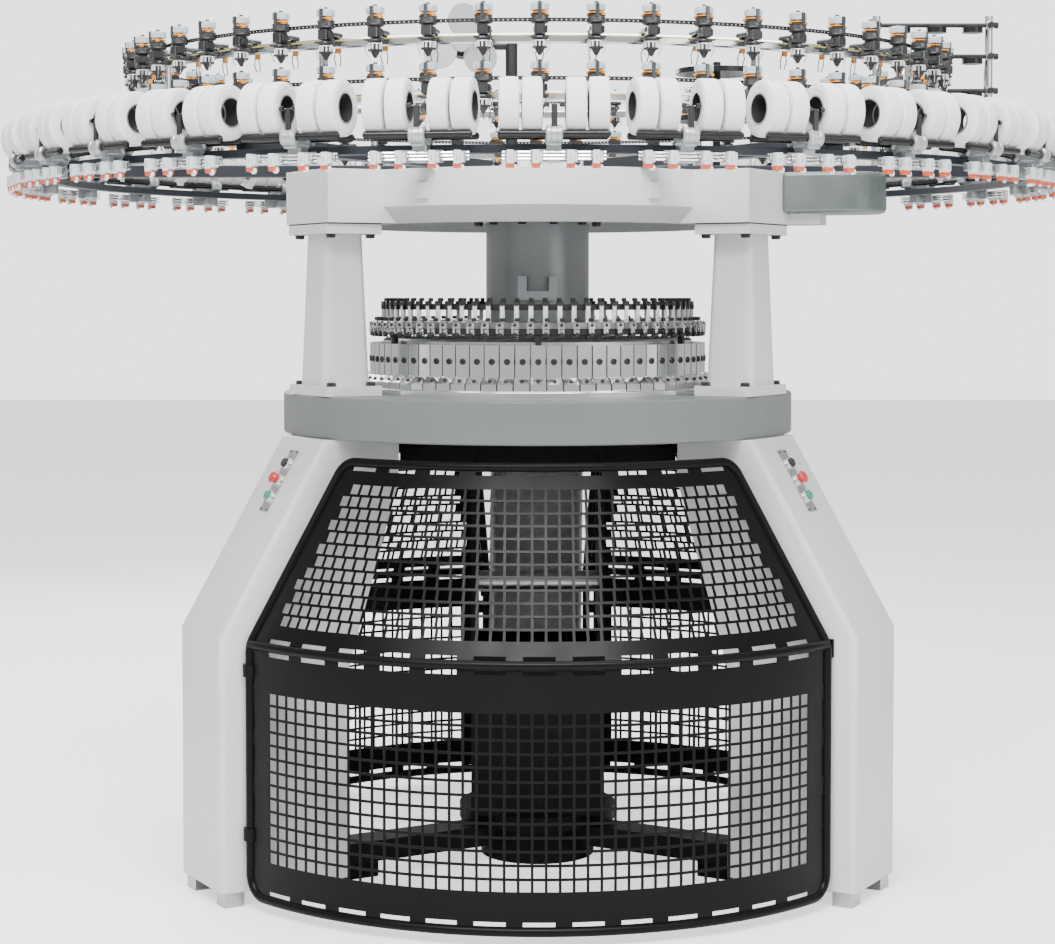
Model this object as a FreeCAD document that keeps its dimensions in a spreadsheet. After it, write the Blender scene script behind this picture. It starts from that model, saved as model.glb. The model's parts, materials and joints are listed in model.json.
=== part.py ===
import FreeCAD, Part
import functools
import math
import os
import re

import Sketcher
from FreeCAD import Placement, Rotation, Vector

# A circular knitting machine in millimetres, +Z up, standing on Z = 0 with its axis on Z.
# The front faces -Y. An azimuth is an angle round the axis from the front, towards +X.

doc = FreeCAD.newDocument("KnittingMachine")
sheet = doc.addObject("Spreadsheet::Sheet", "Sizes")

sizes = {
    # legs: bent plate channels, open towards the axis
    "legWidth": 300, "legWall": 8, "legOuter": 1083, "legInner": 700, "legKnee": 745,
    "legHead": 230, "legNeck": 120, "legEdge": 18, "footHeight": 42, "footSize": 60,
    "footInset": 12,
    # bed plate with the recess of the main gear
    "bedRadius": 757, "bedBottom": 1275, "bedDeck": 40, "bedEdge": 4, "bedLip": 520,
    "lipHeight": 10, "legOverhang": 13, "bedHigh": 119, "recessGap": 13, "boreClear": 8,
    # base
    "hubRadius": 170, "hubHeight": 110, "beamWidth": 110, "beamHeight": 60, "spigotRadius": 30,
    "shaftFit": 0.05, "seatGap": 0.3,
    # pillars
    "pillarFlange": 257, "flangeDepth": 170, "flangeHeight": 28, "pillarFoot": 165,
    "pillarNeck": 134, "pillarEdge": 22, "gasketHeight": 3, "boltRadius": 13, "boltHeight": 11,
    "boltInset": 24, "pillarInset": 4,
    # crown casting
    "crownBottom": 1880, "crownRadius": 600, "crownLip": 560, "crownBand": 46, "crownSkirt": 22,
    "crownPlate": 40, "crownBore": 60, "armWidth": 282, "webWidth": 22, "webDrop": 80,
    "webShort": 60, "webInset": 4, "lugWidth": 34, "lugDepth": 12, "lugHeight": 46, "lugRoot": 10,
    "lugDrop": 40, "shelfReach": 150, "shelfRoot": 40, "armOverhang": 2, "crownHigh": 150,
    # drive housing on the right arm
    "housingWidth": 230, "housingTurn": 75, "bracketDrop": 30, "housingSeat": 50, "housingJut": 280,
    "housingLift": 32,
    # drum, its bracket, and the dial under it
    "drumRadius": 154, "drumFlange": 202, "drumFlangeHeight": 14, "dialHeight": 34, "uWidth": 117,
    "uHeight": 70, "uArm": 26, "uDepth": 22, "dialClear": 13, "dialRise": 14, "uRise": 98,
    # knitting head
    "camRingHeight": 18, "camCount": 72, "camStep": 35, "camGap": 0.32, "screwRadius": 9,
    "screwHeight": 4, "cylinderOuter": 462, "cylinderRim": 6, "lowerGuideHeight": 18,
    "lowerGuideWidth": 24, "guideLegSize": 16, "upperGuideWidth": 22, "upperGuideHeight": 16,
    "carrierWidth": 14, "carrierThick": 6, "carrierHole": 4, "knobRadius": 6, "knobHeight": 12,
    "guideFit": 0.4, "cylinderWall": 37, "camClear": 6, "camDepth": 32, "camToe": 35,
    "camRingEdge": 25, "guideStep": 2, "camHigh": 144, "cylinderRise": 14, "guideRise": 14,
    "guidePitch": 70, "carrierDrop": 10, "carrierRise": 24,
    # gears inside the bed
    "gearTeeth": 134, "pinionTeeth": 12, "gearModule": 8, "toothTip": 6, "toothRoot": 8,
    "toothSlack": 1.2, "gearInner": 395, "pinionPlace": 60, "pinionShaft": 20, "pinionPocket": 60,
    "gearLift": 10.3, "gearHigh": 62.7,
    # take-down, which turns with the cylinder
    "hangRingInner": 335, "hangRingHeight": 40, "cheekGap": 360, "cheekThick": 15,
    "cheekDepth": 400, "cheekBottom": 152, "tableRadius": 235, "tableBottom": 110.3,
    "tableHeight": 42, "coverTop": 640, "coverThick": 4, "drawRadius": 30, "drawHeight": 820,
    "clothRadius": 42, "clothHeight": 330, "axleRadius": 12, "axlePlay": 0.5, "hangerWidth": 60,
    "hangerInset": 40, "hangerSink": 1, "bridgeInset": 110, "hangClear": 8,
    # guard doors
    "doorRadius": 1020, "doorAngle": 50.25, "doorBottom": 40, "doorKnee": 728, "doorTop": 1218,
    "doorTopRadius": 760, "doorTopAngle": 44.5, "tubeRadius": 13, "cornerLow": 60, "cornerKnee": 20,
    "cornerTop": 38, "sheetThick": 3, "holePitch": 36, "holeSize": 29, "lowerRows": 13,
    "lowerColumns": 45, "lowerFirst": 158, "upperRows": 12, "slotLong": 84, "slotWide": 12,
    "slotPitch": 128, "meshMargin": 52, "sheetEase": 0.5, "notchEase": 3, "lowerSlots": 6,
    "sideSlots": 5, "kneeSlots": 6, "topSlots": 4, "hingeOuter": 20, "hingeHeight": 34,
    "hingeLow": 190, "hingeHigh": 640, "hingeArm": 24, "catchHeight": 50, "catchPlace": 690,
    # button plates on the slanted faces of the front legs
    "plateLong": 195, "plateWide": 55, "plateThick": 3, "plateHeight": 1155, "ringOuter": 18,
    "ringInner": 13.3, "ringHeight": 11, "buttonRadius": 13, "buttonStart": 5, "buttonEnd": 20,
    "mushroomNeck": 2, "mushroomRound": 6, "buttonRound": 2, "mushroomRadius": 20,
    "mushroomStart": 22, "mushroomHeight": 9, "buttonPitch": 52,
    # creel: arms, uprights and the outer ring
    "creelArmWidth": 50, "creelArmHeight": 35, "creelArmInner": 300, "postRadius": 12,
    "creelRingHeight": 20, "railHolder": 12, "ringSetback": 25, "creelRingWide": 40, "armSeat": 16,
    "postSetback": 48, "postRise": 54,
    # elastane units on the outer ring
    "unitCount": 30, "unitPlace": 1490, "unitTurn": 1.2, "hubWide": 40, "hubDepth": 96,
    "rollerRadius": 9, "rollerLong": 262, "rollerSpread": 38, "bobbinRadius": 68, "bobbinBore": 34,
    "bobbinWide": 49, "bobbinGap": 53, "bobbinPair": 5, "bobbinEdge": 6, "stemDepth": 34,
    "hubGap": 2, "rollerLift": 20, "hubRise": 30, "stemDrop": 64,
    # yarn sensors hung under each unit
    "rodRadius": 4, "rodLong": 241, "sensorWide": 32, "sensorDeep": 26, "flagHeight": 16,
    "flagInset": 3, "flagWide": 28, "sensorNear": 40, "sensorFar": 100, "rodSetout": 24,
    "rodDrop": 42, "rodPitch": 14, "sensorRise": 4, "sensorHigh": 32,
    # positive feeders on two rings
    "feederCount": 54, "feederPlace": 1195.3, "beltHeight": 10, "beltThick": 2, "railDrop": 44.5,
    "railHeight": 25, "feederPulley": 24, "feederCap": 26, "capTop": 38, "capRound": 4,
    "topKnobRadius": 6, "topKnobEnd": 44, "wheelGap": 2, "clampSink": 6, "capDrop": 22,
    "pulleyHalf": 11, "feederShaft": 5, "housingSleeve": 19, "sleeveTop": 15, "sleeveBottom": 56,
    "wheelBottom": 80, "feederWheel": 22, "coneBottom": 90, "coneTip": 3, "clampWide": 26,
    "clampTop": 28, "clampBottom": 52, "beltFit": 0.3, "railSetback": 4, "railWide": 14,
    "beltPitch": 143, "beltLift": 183,
    # belt drive and tension frame
    "driveDiscRadius": 125, "driveDiscHeight": 16, "driveX": 545, "driveY": 120, "driveShaft": 12,
    "driveAbove": 30, "barStart": 970, "barLong": 400, "barThick": 14, "rodNear": 1010,
    "rodFar": 1345, "tensionRod": 13, "spoolRadius": 30, "spoolHeight": 18, "spoolPlace": 105,
    "spoolPitch": 107, "barDrop": 30, "barStep": 92, "barFall": 102, "tensionRise": 100,
    # fan above the centre
    "fanPost": 18, "fanX": 225, "fanMotor": 36, "fanMotorLong": 90, "fanBlade": 120, "fanHub": 24,
    "fanShaft": 6, "bladeThick": 4, "bladeWide": 104, "bladeTilt": 24, "bladeStart": 18,
    "stemSink": 6, "fanGap": 3, "fanRise": 12,
}

# sizes that follow from the ones above
follows = {
    "pillarPlace": "bedRadius - flangeDepth / 2 - pillarInset",
    "armReach": "pillarPlace + flangeDepth / 2 + armOverhang",
    "housingStart": "armReach - housingSeat",
    "housingReach": "armReach + housingJut",
    "bedTop": "bedBottom + bedHigh",
    "crownTop": "crownBottom + crownHigh",
    "housingBottom": "crownBottom + housingLift",
    "recessRadius": "gearTeeth * gearModule / 2 + recessGap",
    "gearBottom": "bedBottom + gearLift",
    "gearTop": "gearBottom + gearHigh",
    "bedBore": "cylinderOuter + boreClear",
    "hangRingOuter": "bedLip - hangClear",
    "cylinderInner": "cylinderOuter - cylinderWall",
    "dialRadius": "cylinderInner - dialClear",
    "camInner": "cylinderOuter + camClear",
    "camFace": "camInner + camDepth",
    "camFoot": "camFace + camToe",
    "camRingRadius": "camFoot + camRingEdge",
    "upperGuideOuter": "cylinderOuter - guideStep",
    "camTop": "bedTop + camHigh",
    "cylinderTop": "camTop + cylinderRise",
    "lowerGuideBottom": "cylinderTop + guideRise",
    "upperGuideBottom": "lowerGuideBottom + guidePitch",
    "carrierBottom": "lowerGuideBottom - carrierDrop",
    "carrierTop": "upperGuideBottom + carrierRise",
    "dialBottom": "cylinderTop + dialRise",
    "uBottom": "dialBottom + uRise",
    "creelRingOuter": "unitPlace - ringSetback",
    "creelRingInner": "creelRingOuter - creelRingWide",
    "creelArmOuter": "creelRingInner + armSeat",
    "hubInner": "creelRingOuter + hubGap",
    "rodPlace": "unitPlace + rodSetout",
    "rollerHeight": "crownTop + rollerLift",
    "hubTop": "rollerHeight + hubRise",
    "stemBottom": "rollerHeight - stemDrop",
    "rodHigh": "rollerHeight - rodDrop",
    "rodLow": "rodHigh - rodPitch",
    "sensorTop": "rodHigh + sensorRise",
    "sensorBottom": "sensorTop - sensorHigh",
    "beltOuter": "feederPlace - feederPulley - beltFit",
    "railOuter": "beltOuter - railSetback",
    "railInner": "railOuter - railWide",
    "postPlace": "railInner - postSetback",
    "lowerBelt": "crownTop + beltLift",
    "upperBelt": "lowerBelt + beltPitch",
    "postTop": "upperBelt + postRise",
    "fanHeight": "postTop + fanRise",
    "tensionTop": "postTop + tensionRise",
    "barHigh": "tensionTop - barDrop",
    "barMiddle": "barHigh - barStep",
    "barLow": "barMiddle - barFall",
}

for row, (alias, number) in enumerate(sizes.items(), start=1):
    sheet.set("A%d" % row, alias)
    sheet.set("B%d" % row, str(number))
    sheet.setAlias("B%d" % row, alias)
doc.recompute()

upright = Vector(0, 0, 1)
thirds = (0, 120, 240)
made = []


@functools.lru_cache(maxsize=None)
def written(name):
    # a size of the sheet, or the formula of one that follows from others
    return "(%s)" % tied(follows[name]) if name in follows else "Sizes." + name


def tied(text):
    # every alias holds a capital after its first letters, and no function of the sheet does
    return re.sub(r"\b[a-z]+[A-Z]\w*", lambda found: written(found.group(0)), text)


@functools.lru_cache(maxsize=None)
def size(text):
    return float(sheet.evalExpression(tied(text)))


def keep(thing, label):
    thing.Label = label
    made.append(thing)
    return thing


def spun(angle):
    return Placement(Vector(), Rotation(upright, angle))


def plane(body, role):
    return next(face for face in body.Origin.OriginFeatures if face.Role == role)


def outline(body, role, points):
    """A closed sketch whose corners are tied to the sheet; "0" puts a corner on an axis."""
    sketch = body.newObject("Sketcher::SketchObject", "Outline")
    sketch.AttachmentSupport = [(plane(body, role), "")]
    sketch.MapMode = "FlatFace"
    corners = [Vector(size(across), size(along), 0) for across, along in points]
    count = len(corners)
    for index in range(count):
        sketch.addGeometry(Part.LineSegment(corners[index], corners[(index + 1) % count]))
    for index in range(count):
        sketch.addConstraint(Sketcher.Constraint("Coincident", index, 2, (index + 1) % count, 1))
    for index, (across, along) in enumerate(points):
        for way, axis, text in (("DistanceX", -2, across), ("DistanceY", -1, along)):
            if text == "0":
                sketch.addConstraint(Sketcher.Constraint("PointOnObject", index, 1, axis))
                continue
            number = sketch.addConstraint(Sketcher.Constraint(way, -1, 1, index, 1, size(text)))
            sketch.setExpression("Constraints[%d]" % number, tied(text))
    return sketch


def newBody(label):
    return doc.addObject("PartDesign::Body", label)


def turned(label, points):
    """A body turned round Z from an outline of (radius, height) corners."""
    body = newBody(label)
    turning = body.newObject("PartDesign::Revolution", "Turning")
    sketch = outline(body, "XZ_Plane", points)
    turning.Profile = sketch
    turning.ReferenceAxis = (sketch, ["V_Axis"])
    turning.Angle = 360
    body.Tip = turning
    return body


def primitive(kind, label, lengths, at=("0", "0", "0"), turn=None):
    thing = doc.addObject("Part::" + kind, label)
    for name, text in lengths.items():
        thing.setExpression(name, tied(text))
    if turn:
        thing.Placement = Placement(Vector(), turn)
    for way, text in zip("xyz", at):
        thing.setExpression("Placement.Base." + way, tied(text))
    return thing


def block(label, wide, deep, tall, at):
    return primitive("Box", label, {"Length": wide, "Width": deep, "Height": tall}, at)


def fused(label, things):
    fusion = doc.addObject("Part::MultiFuse", label)
    fusion.Shapes = things
    return fusion


def less(label, base, tool):
    cut = doc.addObject("Part::Cut", label)
    cut.Base = base
    cut.Tool = tool
    return cut


def round_(label, things, angles):
    """The things once at each angle round the axis."""
    copies = []
    for angle in angles:
        copy = doc.addObject("Part::Compound", label + "Copy")
        copy.Links = things
        copy.Placement = spun(angle)
        copies.append(copy)
    if len(copies) == 1:
        return copies[0]
    group = doc.addObject("Part::Compound", label)
    group.Links = copies
    return group


def shaped(label, shape):
    """A feature whose shape is set directly, for what neither bodies nor primitives fit."""
    feature = doc.addObject("Part::Feature", label)
    feature.Shape = shape
    return feature


def solidsOf(things, placements):
    doc.recompute()
    solids = []
    for thing in things:
        for placement in placements:
            for solid in thing.Shape.Solids:
                moved = solid.copy()
                moved.Placement = placement.multiply(moved.Placement)
                solids.append(moved)
    return solids


def ringed(label, things, count, start=0.0, skip=()):
    """A group of separate solids: the things at equal steps round the axis."""
    step = 360.0 / count
    placements = [spun(start + step * index) for index in range(count) if index not in skip]
    return keep(shaped(label, Part.makeCompound(solidsOf(things, placements))), label)


# --- legs -------------------------------------------------------------------------------------
legTop = "bedBottom"
legTopOuter = "(bedRadius + legOverhang)"
legTopInner = "(bedRadius + legOverhang - legHead)"


def legShell(label, azimuth):
    # built on +Y, so that every corner of the outline is positive, and turned from there
    body = newBody(label)
    pad = body.newObject("PartDesign::Pad", "Channel")
    pad.Profile = outline(body, "YZ_Plane", [
        ("legInner", "footHeight"), ("legOuter", "footHeight"), ("legOuter", "legKnee"),
        (legTopOuter, legTop), (legTopInner, legTop), (legTopInner, legTop + " - legNeck"),
        ("legInner", "legKnee - legNeck"),
    ])
    pad.setExpression("Length", tied("legWidth"))
    pad.SideType = "Symmetric"
    doc.recompute()
    half = size("legWidth / 2")
    edges = []
    for number, edge in enumerate(pad.Shape.Edges, start=1):
        first, last = edge.Vertexes[0].Point, edge.Vertexes[-1].Point
        outer = min(first.y, last.y) > size(legTopOuter) - 1
        along = abs(first.z - last.z) > size("legNeck")
        if outer and along and abs(abs(first.x) - half) < 1 and abs(first.x - last.x) < 1:
            edges.append("Edge%d" % number)
    rounding = body.newObject("PartDesign::Fillet", "Edges")
    rounding.Base = (pad, edges)
    rounding.setExpression("Radius", tied("legEdge"))
    hollow = body.newObject("PartDesign::Pocket", "Hollow")
    deep = legTopInner + " - 3 * legWall"
    hollow.Profile = outline(body, "YZ_Plane", [
        (deep, "footHeight + legWall"), ("legOuter - legWall", "footHeight + legWall"),
        ("legOuter - legWall", "legKnee - legWall / 4"),
        (legTopOuter + " - 1.3 * legWall", legTop + " - legWall"), (deep, legTop + " - legWall"),
    ])
    hollow.setExpression("Length", tied("legWidth - 2 * legWall"))
    hollow.SideType = "Symmetric"
    body.Tip = hollow
    body.Placement = spun(azimuth + 180)
    return keep(body, label)


legShell("leg_front_left", -60)
legShell("leg_front_right", 60)
legShell("leg_rear", 180)

footCorners = []
for side in ("legWidth / 2 - footInset - footSize", "-legWidth / 2 + footInset"):
    for inward in ("-legOuter + footInset", "-legInner - footInset - footSize"):
        footCorners.append(block("Foot", "footSize", "footSize", "footHeight", (side, inward, "0")))
ringed("levelling_feet", footCorners, 3, 60)

# --- base -------------------------------------------------------------------------------------
hub = primitive("Cylinder", "BaseHub", {"Radius": "hubRadius", "Height": "hubHeight"})
beam = block("BaseBeam", "beamWidth", "legInner + 2 * legWall - hubRadius / 2", "beamHeight",
             ("-beamWidth / 2", "-legInner - 2 * legWall", "footHeight + legWall"))
beamFoot = block("BeamFoot", "beamWidth * 0.6", "beamWidth", "footHeight + legWall",
                 ("-beamWidth * 0.3", "-legInner + 40", "0"))
spigotBore = primitive("Cylinder", "SpigotBore", {"Radius": "spigotRadius + shaftFit", "Height": "hubHeight"},
                       ("0", "0", "hubHeight / 2"))
spider = fused("Spider", [hub, round_("Beams", [beam], (60, 180, 300)),
                          round_("BeamFeet", [beamFoot], (60, 180, 300))])
keep(less("BaseBeams", spider, spigotBore), "base_beams")

# --- bed plate --------------------------------------------------------------------------------
bedTurned = turned("BedTurned", [
    ("bedLip", "bedBottom"), ("bedRadius - bedEdge", "bedBottom"), ("bedRadius", "bedBottom + bedEdge"),
    ("bedRadius", "bedTop - bedEdge"), ("bedRadius - bedEdge", "bedTop"), ("bedBore", "bedTop"),
    ("bedBore", "bedTop - bedDeck"), ("recessRadius", "bedTop - bedDeck"),
    ("recessRadius", "bedBottom + lipHeight"), ("bedLip", "bedBottom + lipHeight"),
])
pinionReach = "(gearTeeth + pinionTeeth) * gearModule / 2"
pinionAt = ("%s * sin(pinionPlace)" % pinionReach, "-%s * cos(pinionPlace)" % pinionReach)
pocket = primitive("Cylinder", "PinionPocket",
                   {"Radius": "pinionPocket", "Height": "bedTop - bedDeck - bedBottom - lipHeight"},
                   pinionAt + ("bedBottom + lipHeight",))
bearing = primitive("Cylinder", "PinionBearing",
                    {"Radius": "pinionShaft + shaftFit", "Height": "lipHeight + bedDeck"},
                    pinionAt + ("bedBottom",))
keep(less("BedPlate", bedTurned, fused("PinionSpace", [pocket, bearing])), "bed_plate")

keep(turned("CamRing", [
    ("bedBore", "bedTop"), ("camRingRadius", "bedTop"),
    ("camRingRadius", "bedTop + camRingHeight - bedEdge"),
    ("camRingRadius - bedEdge", "bedTop + camRingHeight"), ("bedBore", "bedTop + camRingHeight"),
]), "cam_ring")


# --- pillars ----------------------------------------------------------------------------------
columnBottom = "bedTop + flangeHeight"
columnTop = "crownBottom - gasketHeight - flangeHeight"
flangeParts = [
    block("Flange", "pillarFlange", "flangeDepth", "flangeHeight",
          ("-pillarFlange / 2", "-pillarPlace - flangeDepth / 2", level))
    for level in ("bedTop", columnTop)
]
column = doc.addObject("Part::Wedge", "Column")
for name, text in {
    "Xmin": "-pillarFoot / 2", "Xmax": "pillarFoot / 2", "Zmin": "-pillarFoot * 0.45",
    "Zmax": "pillarFoot * 0.45", "X2min": "-pillarNeck / 2", "X2max": "pillarNeck / 2",
    "Z2min": "-pillarNeck * 0.45", "Z2max": "pillarNeck * 0.45", "Ymin": "0",
    "Ymax": "%s - (%s)" % (columnTop, columnBottom),
}.items():
    column.setExpression(name, tied(text))
column.Placement = Placement(Vector(), Rotation(Vector(1, 0, 0), 90))
column.setExpression("Placement.Base.y", tied("-pillarPlace"))
column.setExpression("Placement.Base.z", tied(columnBottom))
doc.recompute()
rounded = doc.addObject("Part::Fillet", "ColumnRounded")
rounded.Base = column
rounded.Edges = [
    (number, size("pillarEdge"), size("pillarEdge"))
    for number, edge in enumerate(column.Shape.Edges, start=1)
    if abs(edge.Vertexes[0].Z - edge.Vertexes[-1].Z) > size("pillarFoot")
]
pillar = fused("Pillar", flangeParts + [rounded])
ringed("pillars", [pillar], 3, 60)

gasket = block("Gasket", "pillarFlange", "flangeDepth", "gasketHeight",
               ("-pillarFlange / 2", "-pillarPlace - flangeDepth / 2", "crownBottom - gasketHeight"))
ringed("crown_gaskets", [gasket], 3, 60)

# --- crown ------------------------------------------------------------------------------------
crownRing = turned("CrownRing", [
    ("crownBore", "crownTop - crownPlate"), ("crownLip - crownSkirt", "crownTop - crownPlate"),
    ("crownLip - crownSkirt", "crownBottom"), ("crownLip", "crownBottom"),
    ("crownRadius", "crownBottom + crownBand"), ("crownRadius", "crownTop"), ("crownBore", "crownTop"),
])
crownArm = block("CrownArm", "armWidth", "armReach - crownLip + crownSkirt", "crownTop - crownBottom",
                 ("-armWidth / 2", "-armReach", "crownBottom"))
web = block("Web", "webWidth", "crownLip - drumFlange / 2 - webShort", "webDrop",
            ("-webWidth / 2", "-crownLip + webInset", "crownTop - crownPlate - webDrop"))
lugs = [block("Lug", "lugWidth", "lugDepth + lugRoot", "lugHeight",
              ("-lugWidth / 2", "-crownRadius - lugDepth", "crownTop - lugHeight - lugDrop"))]
shelf = block("HousingShelf", "armWidth / 2", "housingStart + shelfReach - armReach + shelfRoot", "bracketDrop",
              ("-armWidth / 4", "-housingStart - shelfReach", "housingBottom - bracketDrop"))
crown = fused("CrownFused", [
    crownRing, round_("CrownArms", [crownArm], (60, 180, 300)),
    round_("CrownWebs", [web], range(30, 390, 60)), round_("CrownLugs", lugs, (-32, 32)),
    round_("CrownShelf", [shelf], (75,)),
])
driveBore = primitive("Cylinder", "DriveBore", {"Radius": "driveShaft + shaftFit", "Height": "crownPlate"},
                      ("driveX", "driveY", "crownTop - crownPlate / 2"))
keep(less("Crown", crown, driveBore), "crown")

# --- drive housing ----------------------------------------------------------------------------
# a long box with a round outer end, and a smaller box on its roof; it stands on the crown's shelf
housingBox = block("HousingBox", "housingWidth", "housingReach - housingStart - housingWidth / 2",
                   "crownTop - housingBottom",
                   ("-housingWidth / 2", "-housingReach + housingWidth / 2", "housingBottom"))
housingEnd = primitive("Cylinder", "HousingEnd",
                       {"Radius": "housingWidth / 2", "Height": "crownTop - housingBottom"},
                       ("0", "-housingReach + housingWidth / 2", "housingBottom"))
armClear = block("ArmClear", "armWidth + 2 * seatGap", "armReach + seatGap", "crownTop",
                 ("-armWidth / 2 - seatGap", "-armReach - seatGap", "webInset"))
housingAll = fused("HousingAll", [housingBox, housingEnd])
keep(less("DriveHousing", round_("HousingTurned", [housingAll], (size("housingTurn"),)),
          fused("HousingClear", [
              round_("ArmClearTurned", [armClear], (60,)),
              primitive("Cylinder", "RingClear",
                        {"Radius": "crownRadius + seatGap", "Height": "crownTop + webInset"}),
          ])), "drive_housing")

# --- drum, bracket and dial -------------------------------------------------------------------
drumTop = "crownTop - crownPlate"
flangeTop = "crownTop - crownPlate - webDrop"
dialTop = "dialBottom + dialHeight"
keep(turned("CentreDrum", [
    ("0", dialTop), ("drumRadius", dialTop), ("drumRadius", flangeTop + " - drumFlangeHeight"),
    ("drumFlange", flangeTop + " - drumFlangeHeight"), ("drumFlange", flangeTop),
    ("drumRadius", flangeTop), ("drumRadius", drumTop), ("0", drumTop),
]), "centre_drum")
keep(turned("Dial", [
    ("0", "dialBottom"), ("dialRadius - 10", "dialBottom"), ("dialRadius", "dialBottom + 10"),
    ("dialRadius", dialTop), ("0", dialTop),
]), "dial")

uBase = block("UBase", "uWidth", "uDepth", "uArm", ("-uWidth / 2", "-drumRadius - uDepth", "uBottom"))
uSides = [block("USide", "uArm", "uDepth", "uHeight", (place, "-drumRadius - uDepth", "uBottom"))
          for place in ("-uWidth / 2", "uWidth / 2 - uArm")]
uKnobs = [primitive("Cylinder", "UKnob", {"Radius": "uArm / 2 - 2", "Height": "uDepth / 2"},
                    (place, "-drumRadius - uDepth", "uBottom + uHeight - uArm / 2"),
                    Rotation(Vector(1, 0, 0), 90))
          for place in ("-uWidth / 2 + uArm / 2", "uWidth / 2 - uArm / 2")]
keep(fused("DrumBracket", [uBase] + uSides + uKnobs), "drum_bracket")

# --- knitting head ----------------------------------------------------------------------------
camBottom = "bedTop + camRingHeight"


def camBlock():
    corners = [("camInner", camBottom), ("camFoot", camBottom), ("camFoot", camBottom + " + camStep / 2"),
               ("camFace + camStep / 4", camBottom + " + camStep"), ("camFace", camBottom + " + camStep"),
               ("camFace", "camTop"), ("camInner", "camTop")]
    points = [Vector(0, -size(radius), size(level)) for radius, level in corners]
    profile = Part.Face(Part.makePolygon(points + points[:1]))
    turn = 360.0 / size("camCount") - 2 * size("camGap") / 2
    block_ = profile.revolve(Vector(), upright, turn)
    block_.Placement = spun(-turn / 2)
    return shaped("CamBlock", block_)


ringed("cam_blocks", [camBlock()], int(size("camCount")))

keep(turned("NeedleCylinder", [
    ("cylinderInner", "gearTop"), ("cylinderOuter", "gearTop"), ("cylinderOuter", "cylinderTop - cylinderRim"),
    ("cylinderOuter - cylinderRim", "cylinderTop"), ("cylinderInner", "cylinderTop"),
]), "needle_cylinder")

lowerGuideInner = "(upperGuideOuter + carrierThick + guideFit)"
lowerRing = turned("LowerGuide", [
    (lowerGuideInner, "lowerGuideBottom"), (lowerGuideInner + " + lowerGuideWidth", "lowerGuideBottom"),
    (lowerGuideInner + " + lowerGuideWidth", "lowerGuideBottom + lowerGuideHeight"),
    (lowerGuideInner, "lowerGuideBottom + lowerGuideHeight"),
])
guideLeg = block("GuideLeg", "guideLegSize", "guideLegSize", "lowerGuideBottom - camTop",
                 ("-guideLegSize / 2", "-%s - guideLegSize - 2" % lowerGuideInner, "camTop"))
guideLegs = round_("GuideLegs", [guideLeg], range(0, 360, 60))
upperRing = turned("UpperGuide", [
    ("upperGuideOuter - upperGuideWidth", "upperGuideBottom"), ("upperGuideOuter", "upperGuideBottom"),
    ("upperGuideOuter", "upperGuideBottom + upperGuideHeight"),
    ("upperGuideOuter - upperGuideWidth", "upperGuideBottom + upperGuideHeight"),
])
lowerGuide = fused("LowerGuideRing", [lowerRing, guideLegs])
keep(shaped("guide_rings", Part.makeCompound(solidsOf([lowerGuide, upperRing], [Placement()]))), "guide_rings")

carrier = less(
    "Carrier",
    block("CarrierPlate", "carrierWidth", "carrierThick", "carrierTop - carrierBottom",
          ("-carrierWidth / 2", "-upperGuideOuter - carrierThick", "carrierBottom")),
    primitive("Cylinder", "CarrierHole", {"Radius": "carrierHole", "Height": "3 * carrierThick"},
              ("0", "-upperGuideOuter + carrierThick", "(carrierTop + carrierBottom) / 2"),
              Rotation(Vector(1, 0, 0), 90)))
ringed("yarn_carriers", [carrier], int(size("camCount")), 180.0 / size("camCount"))

# --- fasteners: hexagon bolts, cam screws and guide knobs --------------------------------------
boltPlaces = []
for level in ("bedTop + flangeHeight", columnTop + " - boltHeight"):
    for side in ("-pillarFlange / 2 + boltInset", "pillarFlange / 2 - boltInset"):
        for depth in ("-pillarPlace - flangeDepth / 2 + boltInset", "-pillarPlace + flangeDepth / 2 - boltInset"):
            boltPlaces.append((side, depth, level))
bolts = [primitive("Prism", "Bolt", {"Circumradius": "boltRadius", "Height": "boltHeight"}, place)
         for place in boltPlaces]
camScrew = primitive("Cylinder", "CamScrew", {"Radius": "screwRadius", "Height": "screwHeight"},
                     ("0", "-camFace", "(camTop + %s + camStep) / 2" % camBottom), Rotation(Vector(1, 0, 0), 90))
knobs = [primitive("Cylinder", "Knob", {"Radius": "knobRadius", "Height": "knobHeight"}, place) for place in (
    ("0", "-%s - lowerGuideWidth / 2" % lowerGuideInner, "lowerGuideBottom + lowerGuideHeight"),
    ("0", "-upperGuideOuter + upperGuideWidth / 2", "upperGuideBottom + upperGuideHeight"))]
drumBolt = primitive("Prism", "DrumBolt", {"Circumradius": "boltRadius", "Height": "boltHeight"},
                     ("0", "-drumFlange + boltRadius + 6", flangeTop + " - drumFlangeHeight - boltHeight"))
steps = [360.0 * index / size("camCount") for index in range(int(size("camCount")))]
fasteners = (solidsOf(bolts, [spun(azimuth) for azimuth in (60, 180, 300)])
             + solidsOf([camScrew] + knobs, [spun(step) for step in steps])
             + solidsOf([drumBolt], [spun(step) for step in range(15, 375, 30)]))
keep(shaped("fasteners", Part.makeCompound(fasteners)), "fasteners")


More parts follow.
